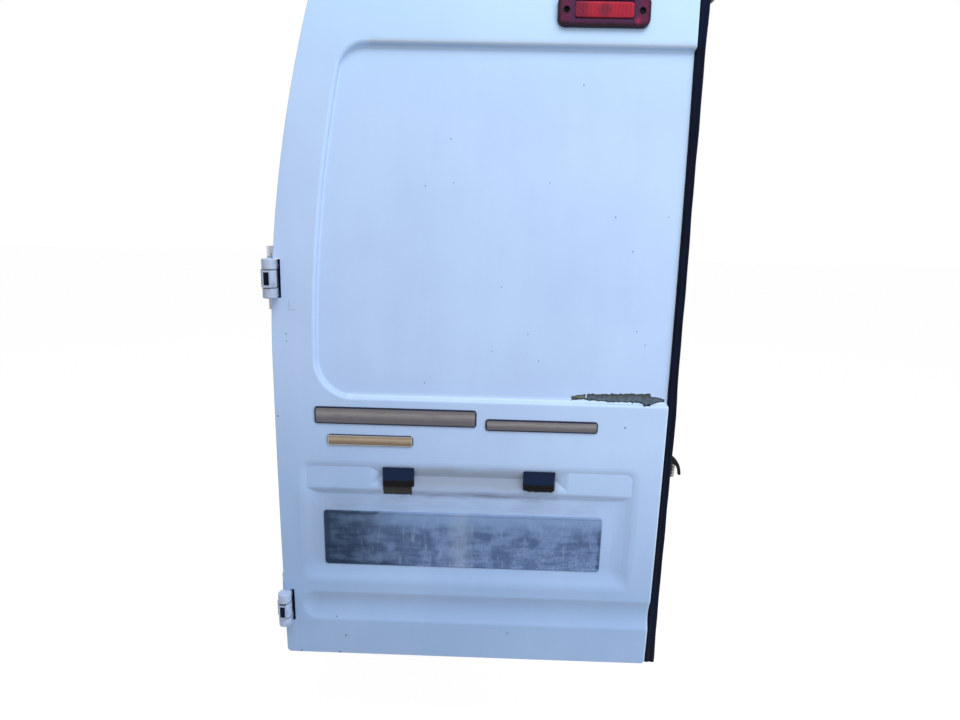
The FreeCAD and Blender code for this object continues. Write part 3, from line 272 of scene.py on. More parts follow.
# Painted highlights: a band along the window recess's foot, and a line along the folded edge by
# the seal.
FACE_WIDE = skin_high[0] - skin_low[0]
WINDOW_FOOT = (0.420, 0.5250, 0.290, 0.0040)
ledge_highlight = scaled(tree, squares(tree, place, 0.004, WINDOW_FOOT), 0.35)
fold_highlight = ranged(tree, across, FACE_WIDE - 0.0034, FACE_WIDE - 0.0016, 0.0, 0.55)
colour = mixed(tree, stronger(tree, ledge_highlight, fold_highlight), colour, PAINT_HIGHLIGHT)
# Painted light makes the paint lighter towards the top, and the step at the window recess's head
# is greyer.
WINDOW_HEAD = (0.4450, 1.1105, 0.2700, 0.0040)
STEP_GREY = (0.350, 0.385, 0.450, 1)
colour = mixed(tree, ranged(tree, upward, 0.95, 1.22, 0.0, 0.7), colour, PAINT_LIT_TOP)
step_grey = scaled(tree, squares(tree, place, 0.004, WINDOW_HEAD), 0.45)
colour = mixed(tree, step_grey, colour, STEP_GREY)
# Painted shade with grime in the lamps' trough, and the same grey beside the plate; painted shadow
# under the brow's edge and middle, and grime over the plate, all streaked.
TROUGH = (0.350, 0.3720, 0.160, 0.0190)
BESIDE_PLATE = (0.085, 0.2600, 0.045, 0.0650)
TROUGH_SHADE_GRIME = (0.180, 0.200, 0.245, 1)
BROW_LINE = (0.352, 0.3450, 0.285, 0.0020)
BROW_MIDDLE = (0.370, 0.3400, 0.145, 0.0060)
OVER_PLATE = (0.340, 0.3140, 0.245, 0.0110)
BROW_SHADOW_GRIME = (0.120, 0.140, 0.265, 1)
wandering = ragged(tree, place, 0.016, 24.0)
trough_shade_grime = scaled(tree, squares(tree, wandering, 0.010, TROUGH), 0.65)
beside_plate = scaled(tree, squares(tree, wandering, 0.030, BESIDE_PLATE), 0.22)
colour = mixed(tree, stronger(tree, trough_shade_grime, beside_plate), colour, TROUGH_SHADE_GRIME)
brow_shadow = scaled(tree, squares(tree, wandering, 0.007, BROW_LINE), 0.55)
brow_shadow = stronger(tree, brow_shadow, squares(tree, wandering, 0.010, BROW_MIDDLE))
over_plate = scaled(tree, squares(tree, wandering, 0.016, OVER_PLATE), 0.30)
streaked = ranged(tree, noise(tree, place, 1.0, 4.0, (30, 30, 200)), 0.30, 0.70)
held = sum_of(tree, "MULTIPLY_ADD", streaked, 0.6, 0.25)
colour = mixed(tree, scaled(tree, stronger(tree, brow_shadow, over_plate), held), colour, BROW_SHADOW_GRIME)
# Black marks below the two lamps: painted shadow, and stains that run down from them.
UNDER_LAMPS = [(0.2195, 0.3480, 0.0265, 0.0115), (0.4810, 0.3575, 0.0215, 0.0050)]
LAMP_SHADOW_STAIN = (0.003, 0.003, 0.004, 1)
shadow_stain = squares(tree, ragged(tree, place, 0.006, 120.0), 0.0012, *UNDER_LAMPS)
colour = mixed(tree, shadow_stain, colour, LAMP_SHADOW_STAIN)
# Paint that has come away along the window recess's foot, down to the primer. The last of these
# places is a small olive one that lies apart from the rest.
PEELED = [
    (0.6140, 0.5322, 0.0560, 0.0074, 0.02), (0.6760, 0.5288, 0.0180, 0.0056, -0.18),
    (0.5600, 0.5278, 0.0300, 0.0016), (0.5415, 0.5318, 0.0130, 0.0034, 0.12),
]
PRIMER = (0.052, 0.072, 0.098, 1)
PRIMER_PALE = (0.098, 0.125, 0.180, 1)
PRIMER_DARK = (0.040, 0.046, 0.038, 1)
PRIMER_TEAL = (0.050, 0.105, 0.150, 1)
PRIMER_OLIVE = (0.150, 0.145, 0.085, 1)
PEEL_EDGE = (0.008, 0.014, 0.020, 1)
torn = ragged(tree, ragged(tree, place, 0.0100, 38.0), 0.0060, 170.0)
bare = squares(tree, torn, 0.0032, *PEELED)
height = add(tree, "SeparateXYZ", {0: torn}).outputs[2]
primer = mixed(tree, ranged(tree, noise(tree, place, 130.0, 5.0), 0.35, 0.65), PRIMER, PRIMER_PALE)
primer = mixed(tree, ranged(tree, height, 0.5310, 0.5385, 0.0, 0.9), primer, PRIMER_DARK)
primer = mixed(tree, ranged(tree, height, 0.5250, 0.5285, 0.8, 0.0), primer, PRIMER_TEAL)
primer = mixed(tree, squares(tree, torn, 0.004, PEELED[-1]), primer, PRIMER_OLIVE)
colour = mixed(tree, ranged(tree, bare, 0.36, 0.50), colour, PEEL_EDGE)
colour = mixed(tree, ranged(tree, bare, 0.74, 0.98), colour, primer)
# Stone chips and a bent scratch by the hinge edge, down to dark metal. The depth behind the barrel
# curve, z^2 / 2R, tells the sheet's outer side from its inner side, which has no chips.
SCRATCH = [(0.033, 0.683, 0.0003, 0.009), (0.039, 0.675, 0.006, 0.0003)]
OUTER_DEEPEST, INNER_NEAREST = 0.0104, 0.0108
chipped = ragged(tree, place, 0.0022, 420.0)
curve_depth = scaled(tree, scaled(tree, upward, upward), 0.5 / FACE_CURVE)
sheet_depth = sum_of(tree, "SUBTRACT", inward, curve_depth)
outside = ranged(tree, sheet_depth, OUTER_DEEPEST, INNER_NEAREST, 0.8, 0.0)
chips = scaled(tree, spots(tree, chipped, 0.0006, *CHIPS), outside)
colour = mixed(tree, chips, colour, BARE_METAL)
scratched = scaled(tree, squares(tree, chipped, 0.0004, *SCRATCH), 0.6)
colour = mixed(tree, scratched, colour, BARE_METAL)
worn = stronger(tree, bare, shadow_stain)
rough = sum_of(tree, "MULTIPLY_ADD", foot_tone, 0.14, 0.28)
feed(
    tree, shader, peel, 0.04,
    Base_Color=colour, Roughness=sum_of(tree, "MULTIPLY_ADD", worn, 0.3, rough),
    Coat_Weight=ranged(tree, worn, 0.0, 1.0, PAINT_COAT, 0.0),
)
paint_node(body_paint, "outer_skin")

# Inner panel: hat-shaped steel pressing glued and folded into the skin's edge. It has the same
# paint, sprayed thinner and drier than outside, and faded in clouds, with the same painted shade
# towards its foot.
inner_paint, tree, shader, place, colour, _, peel = paint_new(
    "inner_paint", PAINT_CLEAN, PAINT_FADED, PAINT_FOOT_SHADE
)
dry = sum_of(tree, "MULTIPLY_ADD", noise(tree, place, 60.0), 0.2, 0.36)
thin_coat = mixed(tree, noise(tree, place, 3.0), colour, PAINT_FADED)
feed(tree, shader, peel, 0.06, Base_Color=thin_coat, Roughness=dry)
paint_node(inner_paint, "inner_panel")

# Hinges: straps bolted to the pillar and leaves bolted to the door, cast and painted greyer than
# the body. Dirt fills the joints between the knuckles, and rubber fills the notches behind.
HINGE_HEIGHTS = {"upper": 0.7285, "lower": 0.1055}
KNUCKLE_SEAM = 0.01525
FLANGE_START = (0.0350, 0.0365)
HINGE_PALE = (0.440, 0.540, 0.730, 1)
HINGE_GREY = (0.345, 0.425, 0.585, 1)
HINGE_LOW = (0.380, 0.500, 0.740, 1)
HINGE_DIRT = (0.040, 0.042, 0.052, 1)
FLANGE_PRIMER = (0.850, 0.865, 0.890, 1)
RUST = (0.120, 0.048, 0.022, 1)
hinge_paint, tree, shader, place, colour, _, _ = paint_new(
    "hinge_paint", HINGE_PALE, HINGE_GREY, HINGE_LOW
)
grain = noise(tree, place, 150.0, 4.0)
height = add(tree, "SeparateXYZ", {0: place}).outputs[2]
upper_away, lower_away = (
    sum_of(tree, "ABSOLUTE", sum_of(tree, "SUBTRACT", height, middle))
    for middle in HINGE_HEIGHTS.values()
)
away = sum_of(tree, "MINIMUM", upper_away, lower_away)
seam = sum_of(tree, "ABSOLUTE", sum_of(tree, "SUBTRACT", away, KNUCKLE_SEAM))
dirt = ranged(tree, noise(tree, place, 70.0, 4.0), 0.52, 0.76, 0.0, 0.35)
rusty = ranged(tree, noise(tree, place, 38.0, 5.0), 0.64, 0.76, 0.0, 0.5)
colour = mixed(tree, dirt, colour, HINGE_DIRT)
colour = mixed(tree, rusty, colour, RUST)
colour = mixed(tree, ranged(tree, seam, 0.0005, 0.0015, 0.95, 0.0), colour, HINGE_DIRT)
colour = mixed(tree, ranged(tree, away, *FLANGE_START), colour, FLANGE_PRIMER)
feed(
    tree, shader, grain, 0.12,
    Base_Color=colour, Roughness=sum_of(tree, "MULTIPLY_ADD", grain, 0.25, 0.28),
)

# Zinc-plated steel, rusty in places, is the finish of the bolts and of other steel pieces.
STEEL_BRIGHT = (0.42, 0.43, 0.44, 1)
STEEL_DULL = (0.17, 0.17, 0.18, 1)
zinc_steel, tree, shader = finish_new("zinc_steel", Metallic=0.9)
place = on_door(tree)
flakes = noise(tree, place, 240.0, 4.0)
steel = mixed(tree, flakes, STEEL_BRIGHT, STEEL_DULL)
rusty = ranged(tree, noise(tree, place, 55.0, 5.0), 0.58, 0.72, 0.0, 0.8)
steel = mixed(tree, rusty, steel, RUST)
feed(
    tree, shader, flakes, 0.08,
    Base_Color=steel, Roughness=ranged(tree, flakes, 0.2, 0.8, 0.25, 0.5),
)

# Weathered rubber is the finish of the gaskets, the buffers and the seal: near black, and rougher
# in cloudy streaks of bloom that are painted bluish as a sheen.
RUBBER_BLACK = (0.0018, 0.0032, 0.0100, 1)
RUBBER_SHEEN_BLOOM = (0.0045, 0.0085, 0.0270, 1)
weathered_rubber, tree, shader = finish_new("weathered_rubber", Specular_IOR_Level=0.08)
place = on_door(tree)
sheen_bloom = ranged(tree, noise(tree, place, 1.0, 4.0, (90, 90, 14)), 0.35, 0.75)
pores = noise(tree, place, 900.0, 2.0)
feed(
    tree, shader, pores, 0.15,
    Base_Color=mixed(tree, sheen_bloom, RUBBER_BLACK, RUBBER_SHEEN_BLOOM),
    Roughness=ranged(tree, sheen_bloom, 0.0, 1.0, 0.42, 0.68),
)
for side in HINGE_HEIGHTS:
    paint_node(hinge_paint, side + "_hinge_strap", side + "_hinge_leaf")
    paint_node(weathered_rubber, side + "_hinge_buffer", side + "_hinge_gasket")


def grid_faces(rows, columns, first=0, ring=False):
    """Corner numbers of a grid's cells; a ring joins each row's end to its start."""
    number = first + np.arange(rows * columns).reshape(rows, columns)
    if ring:
        number = np.hstack([number, number[:, :1]])
    corners = [number[:-1, :-1], number[:-1, 1:], number[1:, 1:], number[1:, :-1]]
    return np.stack(corners, axis=-1).reshape(-1, 4).tolist()


def piece_new(name, points, faces, material, body, crease=35):
    """Object from points and faces, turned to face outwards, riding on a body."""
    mesh = bpy.data.meshes.new(name)
    mesh.from_pydata(points.tolist(), [], faces)
    mesh.polygons.foreach_set("use_smooth", np.ones(len(faces), dtype=bool))
    normals, centres = np.zeros(3 * len(faces)), np.zeros(3 * len(faces))
    areas = np.zeros(len(faces))
    mesh.polygons.foreach_get("normal", normals)
    mesh.polygons.foreach_get("center", centres)
    mesh.polygons.foreach_get("area", areas)
    # Three times the volume, by the divergence of place over the surface.
    if ((normals * centres).reshape(-1, 3).sum(axis=1) * areas).sum() < 0:
        mesh.flip_normals()
    mesh.set_sharp_from_angle(angle=np.radians(crease))
    mesh.materials.append(material)
    made = bpy.data.objects.new(name, mesh)
    bpy.context.scene.collection.objects.link(made)
    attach(made, body)
    return made


def ring_faces(rings):
    """Faces of rings of points that are joined in order, with both ends closed."""
    count, sides = rings.shape[:2]
    last = (count - 1) * sides
    ends = [list(range(sides))[::-1], list(range(last, last + sides))]
    return grid_faces(count, sides, ring=True) + ends


def turned(profile, sides, lobes=None):
    """Rings about the local third axis from (radius, height) pairs.

    A lobes function of the angle multiplies the radii, as on a six-sided head.
    """
    profile = np.array(profile)
    angle = np.linspace(0, 2 * np.pi, sides, endpoint=False)
    reach = profile[:, :1] * (lobes(angle) if lobes else np.ones(sides))
    height = np.broadcast_to(profile[:, 1:], reach.shape)
    return np.stack([reach * np.cos(angle), reach * np.sin(angle), height], axis=-1)


def hexagon(angle):
    """Reach of a six-sided outline of unit inner radius: 1 / cos of the angle to the nearest flat."""
    return 1 / np.cos((angle + np.pi / 6) % (np.pi / 3) - np.pi / 6)


def laid(points, middle, across, upward, outward):
    """Points of a local frame put at a middle, along three directions of the door."""
    return middle + points.reshape(-1, 3) @ np.array([across, upward, outward], dtype=float)


def face_depth(height):
    """Depth of the barrel-curved face behind its foot: R - sqrt(R^2 - z^2)."""
    return FACE_CURVE - np.sqrt(FACE_CURVE**2 - height**2)


# Each pin ends in painted round caps that close the outer knuckles, with its small head on top.
PIN_INSET, PIN_STANDOFF = 0.005, 0.0105
cap_profile = [
    (0.0006, -0.0338), (0.0102, -0.0334), (0.0112, -0.0329), (0.0118, -0.0323), (0.0120, -0.0315),
    (0.0050, -0.0315), (0.0050, 0.0315), (0.0120, 0.0315), (0.0118, 0.0323), (0.0112, 0.0329),
    (0.0102, 0.0334), (0.0046, 0.0336), (0.0042, 0.0342), (0.0030, 0.0346), (0.0006, 0.0347),
]
pin_middles = {
    side: skin_low + np.array([PIN_INSET, face_depth(height) - PIN_STANDOFF, height])
    for side, height in HINGE_HEIGHTS.items()
}
axis_up = pin_middles["upper"] - pin_middles["lower"]
axis_up = axis_up / np.linalg.norm(axis_up)
axis_in = np.array([0, axis_up[2], -axis_up[1]])
# A web of the leaf closes its gap behind the middle knuckle: across and inwards from the pin, up.
web_corners = np.array([(0.0047, 0.0165), (0.0087, 0.0165), (0.0087, 0.0245), (0.0047, 0.0245)])
web = np.array([[(*corner, end) for corner in web_corners] for end in (-0.0156, 0.0156)])
caps = turned(cap_profile, 48)
for side, middle in pin_middles.items():
    pin = piece_new(
        side + "_hinge_pin_caps", laid(caps, middle, (1, 0, 0), axis_in, axis_up),
        ring_faces(caps), hinge_paint, "door",
    )
    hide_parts(side + "_hinge_pin")
    piece_new(
        side + "_hinge_leaf_web", laid(web, middle, (1, 0, 0), axis_in, axis_up),
        ring_faces(web), zinc_steel, "door",
    )

# Two six-sided bolts hold each leaf to the wall of the inner panel.
BOLT_PLACES = {"top": 0.76, "bottom": 0.24}
BOLT_SINK, BOLT_INSET, BOLT_DROP = 0.0040, 0.0085, 0.0012
washer_profile = [(0.0078, 0), (0.0078, 0.0008), (0.0060, 0.0009)]
head_profile = [(0.0055, 0.0009), (0.0055, 0.0042), (0.00484, 0.0050), (0.001375, 0.0050)]
bolt = np.concatenate([turned(washer_profile, 36), turned(head_profile, 36, hexagon)])
for side in HINGE_HEIGHTS:
    leaf_low, leaf_high = (np.array(corner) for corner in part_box(side + "_hinge_leaf"))
    for end, share in BOLT_PLACES.items():
        height = leaf_low[2] + share * (leaf_high[2] - leaf_low[2]) - BOLT_DROP
        middle = np.array([leaf_high[0] - BOLT_SINK, leaf_high[1] - BOLT_INSET, height])
        piece_new(
            f"{side}_hinge_bolt_{end}", laid(bolt, middle, (0, -1, 0), (0, 0, 1), (-1, 0, 0)),
            ring_faces(bolt), zinc_steel, "door",
        )

# Meeting seal: an extruded rubber strip whose foot is pushed on behind the fold of the skin, with
# a bulb beside the door's edge that the other door shuts against, and a block at its top.
seal_low, seal_high = (np.array(corner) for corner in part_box("meeting_seal"))
# Section round the strip: share of the bulb's reach past the door's edge, or less than nought for
# the share of the foot's, and depth behind the face.
SEAL_SECTION = np.array([
    (-1.00, 0.0236), (-0.55, 0.0230), (-0.06, 0.0230), (0.00, 0.0210), (0.00, 0.0080), (0.04, 0.0054),
    (0.14, 0.0042), (0.30, 0.0040), (0.42, 0.0050), (0.50, 0.0054), (0.58, 0.0050), (0.72, 0.0042),
    (0.86, 0.0046), (0.95, 0.0062), (1.00, 0.0090), (1.00, 0.0240), (0.97, 0.0280), (0.88, 0.0304),
    (0.70, 0.0310), (-0.06, 0.0310), (-0.90, 0.0310), (-1.00, 0.0304),
])
SEAL_HEIGHTS = [0.000, 0.020, 0.070, 0.330, 0.500, 0.550, 0.850, 0.930, 1.090, 1.165]
SEAL_REACHES = [0.0215, 0.0210, 0.0190, 0.0164, 0.0172, 0.0148, 0.0140, 0.0142, 0.0160, 0.0180]
FOOT_REACH = 0.0137
SEAL_GAP = 0.0003
BLOCK_REACH, BLOCK_HEIGHT, BLOCK_STEP, BLOCK_BACK = 0.0290, 0.046, 0.0020, 0.003
BULB_BACK = 0.025
SEAL_ROWS = 360


def seal_surface(up, share, depth):
    """Seal from its height share and its section, carried along the curved edge.

    The bulb reaches r(z) past the edge, read from a table of heights with a slight wave, and
    steps out to the block's reach near the top by (1 + tanh((h - d) / s)) / 2, where d is the
    distance to the top, h the block's height and s the length of the step.
    """
    height = seal_low[2] + up * (seal_high[2] - seal_low[2]) - skin_low[2]
    top = seal_high[2] - skin_low[2] - height
    block = (1 + np.tanh((BLOCK_HEIGHT - top) / BLOCK_STEP)) / 2
    wave = 0.0003 * np.sin(27 * height) + 0.0002 * np.sin(71 * height + 1)
    reach = np.interp(height, SEAL_HEIGHTS, SEAL_REACHES) + wave
    reach = reach + (BLOCK_REACH - reach) * block
    past_edge = np.maximum(share, 0) * reach + np.minimum(share, 0) * FOOT_REACH
    x = skin_high[0] + SEAL_GAP + past_edge
    swell = BLOCK_BACK * block * (depth > BULB_BACK) * (share > 0)
    y = skin_low[1] + face_depth(height) + depth + swell
    return np.stack([x, y, skin_low[2] + height], axis=-1)


up, share = np.meshgrid(np.linspace(0, 1, SEAL_ROWS), SEAL_SECTION[:, 0], indexing="ij")
seal_points = seal_surface(up, share, SEAL_SECTION[:, 1])
seal = piece_new(
    "meeting_seal_strip", seal_points.reshape(-1, 3), ring_faces(seal_points),
    weathered_rubber, "door", crease=50,
)
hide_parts("meeting_seal")

# Striker: steel plate screwed to the wall, a bent steel loop, and a black nylon fin that guides
# the loop into the other door's lock.
MOULDED_BLACK = (0.006, 0.0065, 0.008, 1)
MOULDED_WORN = (0.026, 0.027, 0.030, 1)
black_plastic, tree, shader = finish_new("moulded_black", Specular_IOR_Level=0.14)
place = on_door(tree)
leather = noise(tree, place, 650.0, 3.0)
scuff = ranged(tree, noise(tree, place, 40.0, 5.0), 0.52, 0.75)
feed(
    tree, shader, leather, 0.2,
    Base_Color=mixed(tree, scuff, MOULDED_BLACK, MOULDED_WORN),
    Roughness=ranged(tree, leather, 0.2, 0.8, 0.34, 0.55),
)
GREASE = (0.020, 0.021, 0.024, 1)
greased_steel, tree, shader = finish_new("greased_steel", Metallic=0.6)
place = on_door(tree)
smear = ranged(tree, noise(tree, place, 170.0, 4.0), 0.42, 0.56)
feed(
    tree, shader, smear, 0.1,
    Base_Color=mixed(tree, smear, GREASE, STEEL_BRIGHT),
    Roughness=ranged(tree, smear, 0.0, 1.0, 0.5, 0.3),
)
paint_node(zinc_steel, "striker_plate")
paint_node(greased_steel, "striker_loop")
wedge_low, wedge_high = (np.array(corner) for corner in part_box("striker_wedge"))
FIN_ROWS, FIN_SIDES = 40, 24
FIN_THIN, FIN_SWELL, SWELL_PLACE, SWELL_WIDE = 0.0024, 0.0054, 0.42, 0.26
FIN_BOXY = 0.6


def fin_surface(along, around):
    """Fin from its share along its bent outer edge and the angle round its section.

    The edge is the quadratic curve (1-t)^2 A + 2t(1-t) B + t^2 C from the plate out and down; the
    section is a flattened oval inside it, thick by a + b exp(-((t - m) / w)^2) and thin at the tip.
    """
    root = np.array([wedge_low[0], wedge_high[2] + 0.001])
    shoulder = np.array([wedge_high[0] - 0.003, wedge_high[2] - 0.004])
    tip = np.array([wedge_high[0] - 0.0003, wedge_low[2] - 0.028])
    share = along[..., None]
    line = (1 - share) ** 2 * root + 2 * share * (1 - share) * shoulder + share**2 * tip
    way = 2 * (1 - share) * (shoulder - root) + 2 * share * (tip - shoulder)
    way = way / np.linalg.norm(way, axis=-1, keepdims=True)
    thick = FIN_THIN + FIN_SWELL * np.exp(-(((along - SWELL_PLACE) / SWELL_WIDE) ** 2))
    deep = (wedge_high[1] - wedge_low[1]) / 2 * (1 - 0.25 * along**3)
    section = (np.sign(np.sin(around)) * np.abs(np.sin(around)) ** FIN_BOXY - 1) * thick
    x = line[..., 0] - way[..., 1] * section
    z = line[..., 1] + way[..., 0] * section
    middle = (wedge_low[1] + wedge_high[1]) / 2
    y = middle + deep * np.sign(np.cos(around)) * np.abs(np.cos(around)) ** FIN_BOXY
    return np.stack([x, y, z], axis=-1)


along, around = np.meshgrid(
    np.linspace(0, 1, FIN_ROWS), np.linspace(0, 2 * np.pi, FIN_SIDES, endpoint=False), indexing="ij"
)
fin_points = fin_surface(along, around)
fin = piece_new(
    "striker_guide_fin", fin_points.reshape(-1, 3), ring_faces(fin_points),
    black_plastic, "door",
)
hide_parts("striker_wedge")


def screw_rings(radius, rise, slot=0.22, rings=16, sides=64):
    """Round head with a crossed slot, as rings about the local third axis.

    Height is rise (1 - 0.35 q^2) over the radius share q, less the slot's depth where the
    smaller of the two side distances is under the slot's half width and q is under 0.62.
    """
    share = np.concatenate([[1.0, 1.0], np.linspace(1.0, 0.04, rings)])[:, None]
    angle = np.linspace(0, 2 * np.pi, sides, endpoint=False)
    side = np.minimum(np.abs(np.cos(angle)), np.abs(np.sin(angle))) * share
    cross = 1 / (1 + np.exp((side - slot / 2) / 0.02)) / (1 + np.exp((share - 0.62) / 0.02))
    height = rise * (1 - 0.35 * share**2 - 0.5 * cross)
    height[0] = 0
    reach = radius * share * np.ones_like(angle)
    return np.stack([reach * np.cos(angle), reach * np.sin(angle), height], axis=-1)


STRIKER_SCREW = (0.0042, 0.0022)
SCREW_INSET = 0.006
plate_low, plate_high = (np.array(corner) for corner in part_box("striker_plate"))
rings = screw_rings(*STRIKER_SCREW)
for end, height in (("top", plate_high[2] - SCREW_INSET), ("bottom", plate_low[2] + SCREW_INSET)):
    middle = np.array([plate_high[0], (plate_low[1] + plate_high[1]) / 2, height])
    piece_new(
        f"striker_screw_{end}", laid(rings, middle, (0, 1, 0), (0, 0, 1), (1, 0, 0)),
        ring_faces(rings), zinc_steel, "door",
    )

# High brake lamp: a maroon moulding screwed down over a rubber gasket through two wells, with a
# fluted red lens let into its front. The bulb shows as a dark disc behind the lens.
LAMP_X, LAMP_Z = 0.5485, 1.158
LENS_HALF = (0.0465, 0.0118)
HOUSING_FRONT = 0.0083
SCREW_REACH = 0.05975
WELL_RADIUS, WELL_FLOOR = 0.0056, 0.0043
WELL_SCREW = (0.0027, 0.0022)
NEAR_LENS = (LAMP_X, LAMP_Z, 0.053, 0.0170)
HOUSING_LIT_FACE = (LAMP_X, LAMP_Z + 0.002, 0.069, 0.0195)
RED_GLINT_SPOT = (LAMP_X + 0.053, LAMP_Z - 0.0150, 0.0035)
MAROON = (0.085, 0.010, 0.042, 1)
MAROON_EDGE_SHADE = (0.018, 0.005, 0.013, 1)
PLUM_SHADE = (0.036, 0.014, 0.056, 1)
RED_GLINT = (0.260, 0.016, 0.050, 1)
WELL_SHADE = (0.004, 0.004, 0.006, 1)
paint_node(weathered_rubber, "brake_lamp_gasket")
lamp_maroon, tree, shader = finish_new("lamp_maroon", Specular_IOR_Level=0.22)
place = on_door(tree)
soft = ragged(tree, place, 0.006, 90.0)
near_lens = squares(tree, soft, 0.006, NEAR_LENS)
# Painted shade darkens the housing round its edge, most of all along its foot.
lit_face = squares(tree, soft, 0.004, HOUSING_LIT_FACE)
colour = mixed(tree, lit_face, MAROON_EDGE_SHADE, MAROON)
colour = mixed(tree, scaled(tree, near_lens, 0.8), colour, PLUM_SHADE)
# A small painted red glint just past the lens's lower right corner.
colour = mixed(tree, spots(tree, soft, 0.004, RED_GLINT_SPOT), colour, RED_GLINT)
# Painted shade blackens the screw wells.
well_marks = [(LAMP_X + way * SCREW_REACH, LAMP_Z, WELL_RADIUS) for way in (-1, 1)]
well_shade = spots(tree, place, 0.0006, *well_marks)
colour = mixed(tree, well_shade, colour, WELL_SHADE)
scuffs = noise(tree, place, 300.0, 4.0)
feed(
    tree, shader, scuffs, 0.06,
    Base_Color=colour, Roughness=ranged(tree, scuffs, 0.3, 0.7, 0.22, 0.4),
)
paint_node(lamp_maroon, "brake_lamp_housing")


def lines_across(half, insets, count):
    """Grid lines from edge to edge: close together at the insets, then even."""
    insets = np.array(insets)
    inner = half - insets[-1]
    even = np.linspace(-inner, inner, count)[1:-1]
    return np.concatenate([insets - half, even, (half - insets)[::-1]])


def plate_grid(half_wide, half_high, corner, insets, counts):
    """Grid over a rectangle with its corners bent round, and each point's distance to the edge.

    In a corner square of side r, the place (s, t) in units of r goes to
    (s sqrt(1 - t^2 / 2), t sqrt(1 - s^2 / 2)), which carries the square's border to the arc.
    """
    wide = lines_across(half_wide, insets, counts[0])
    high = lines_across(half_high, insets, counts[1])
    high, wide = np.meshgrid(high, wide, indexing="ij")
    edge = np.minimum(half_wide - np.abs(wide), half_high - np.abs(high))
    s = np.clip((np.abs(wide) - half_wide + corner) / corner, 0, 1)
    t = np.clip((np.abs(high) - half_high + corner) / corner, 0, 1)
    x = wide + np.sign(wide) * corner * (s * np.sqrt(1 - t**2 / 2) - s)
    z = high + np.sign(high) * corner * (t * np.sqrt(1 - s**2 / 2) - t)
    return x, z, edge


def plate_points(x, z, front, back):
    """Points and faces of a closed plate between a front and a back height over one grid."""
    rows, columns = x.shape
    sheets = [np.stack([x, z, np.broadcast_to(height, x.shape)], axis=-1) for height in (front, back)]
    number = np.arange(rows * columns).reshape(rows, columns)
    border = np.concatenate([number[0, :-1], number[:-1, -1], number[-1, :0:-1], number[:0:-1, 0]])
    after, behind = np.roll(border, -1), rows * columns
    walls = np.stack([border, border + behind, after + behind, after], axis=-1).tolist()
    rear = [cell[::-1] for cell in grid_faces(rows, columns, behind)]
    return np.concatenate(sheets).reshape(-1, 3), grid_faces(rows, columns) + rear + walls


def on_face(points, x, z):
    """Points drawn across, up and outwards, put on the barrel-curved face and leaning with it."""
    lean = np.arcsin(z / FACE_CURVE)
    middle = skin_low + np.array([x, face_depth(z), z])
    upward = (0, np.sin(lean), np.cos(lean))
    outward = (0, -np.cos(lean), np.sin(lean))
    return laid(points, middle, (1, 0, 0), upward, outward)


LENS_RED = (0.270, 0.009, 0.028, 1)
LENS_BRIGHT = (0.360, 0.012, 0.036, 1)
LENS_DIM = (0.110, 0.009, 0.032, 1)
BULB = (LAMP_X, LAMP_Z, 0.0095)
DIM_END = (LAMP_X - 0.043, LAMP_Z, 0.016, 0.05)
lens_red, tree, shader = finish_new("lens_red", Specular_IOR_Level=0.25)
place = on_door(tree)
hazy = ragged(tree, place, 0.006, 80.0)
bulb = spots(tree, hazy, 0.004, BULB)
dim_end = squares(tree, hazy, 0.006, DIM_END)
shade = scaled(tree, stronger(tree, bulb, dim_end), 0.7)
mottled = mixed(tree, noise(tree, place, 110.0), LENS_RED, LENS_BRIGHT)
feed(
    tree, shader, noise(tree, place, 500.0), 0.05,
    Base_Color=mixed(tree, shade, mottled, LENS_DIM),
    Roughness=ranged(tree, noise(tree, place, 60.0), 0.3, 0.7, 0.14, 0.30),
)
LENS_CORNER, LENS_BORDER = 0.004, 0.0014
LENS_SINK, LENS_RISE, LENS_DEEP = 0.0004, 0.0012, 0.0018
FLUTE_PITCH, FLUTE_HEIGHT, FLUTE_FADE = 0.0031, 0.0007, 0.002
insets = [0, 0.0003, 0.0008, LENS_BORDER, 0.0022]
lens_x, lens_z, lens_edge = plate_grid(*LENS_HALF, LENS_CORNER, insets, (244, 12))
# Front of the lens: a rounded border, then flutes h |sin(pi x / pitch)| that fade in from it.
border = np.clip(lens_edge / LENS_BORDER, 0, 1)
fading = np.clip((lens_edge - LENS_BORDER) / FLUTE_FADE, 0, 1)
flutes = FLUTE_HEIGHT * np.abs(np.sin(np.pi * lens_x / FLUTE_PITCH)) * fading
lens_front = HOUSING_FRONT - LENS_SINK + LENS_RISE * np.sqrt(1 - (1 - border) ** 2) + flutes
points, faces = plate_points(lens_x, lens_z, lens_front, HOUSING_FRONT - LENS_DEEP)
brake_lens = piece_new(
    "brake_lamp_fluted_lens", on_face(points, LAMP_X, LAMP_Z), faces, lens_red, "door"
)
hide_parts("brake_lamp_lens")
for side, way in (("left", -1), ("right", 1)):
    rings = screw_rings(*WELL_SCREW)
    rings[..., 0] += way * SCREW_REACH
    rings[..., 2] += WELL_FLOOR
    piece_new(
        f"brake_lamp_screw_{side}", on_face(rings, LAMP_X, LAMP_Z), ring_faces(rings),
        black_plastic, "door",
    )

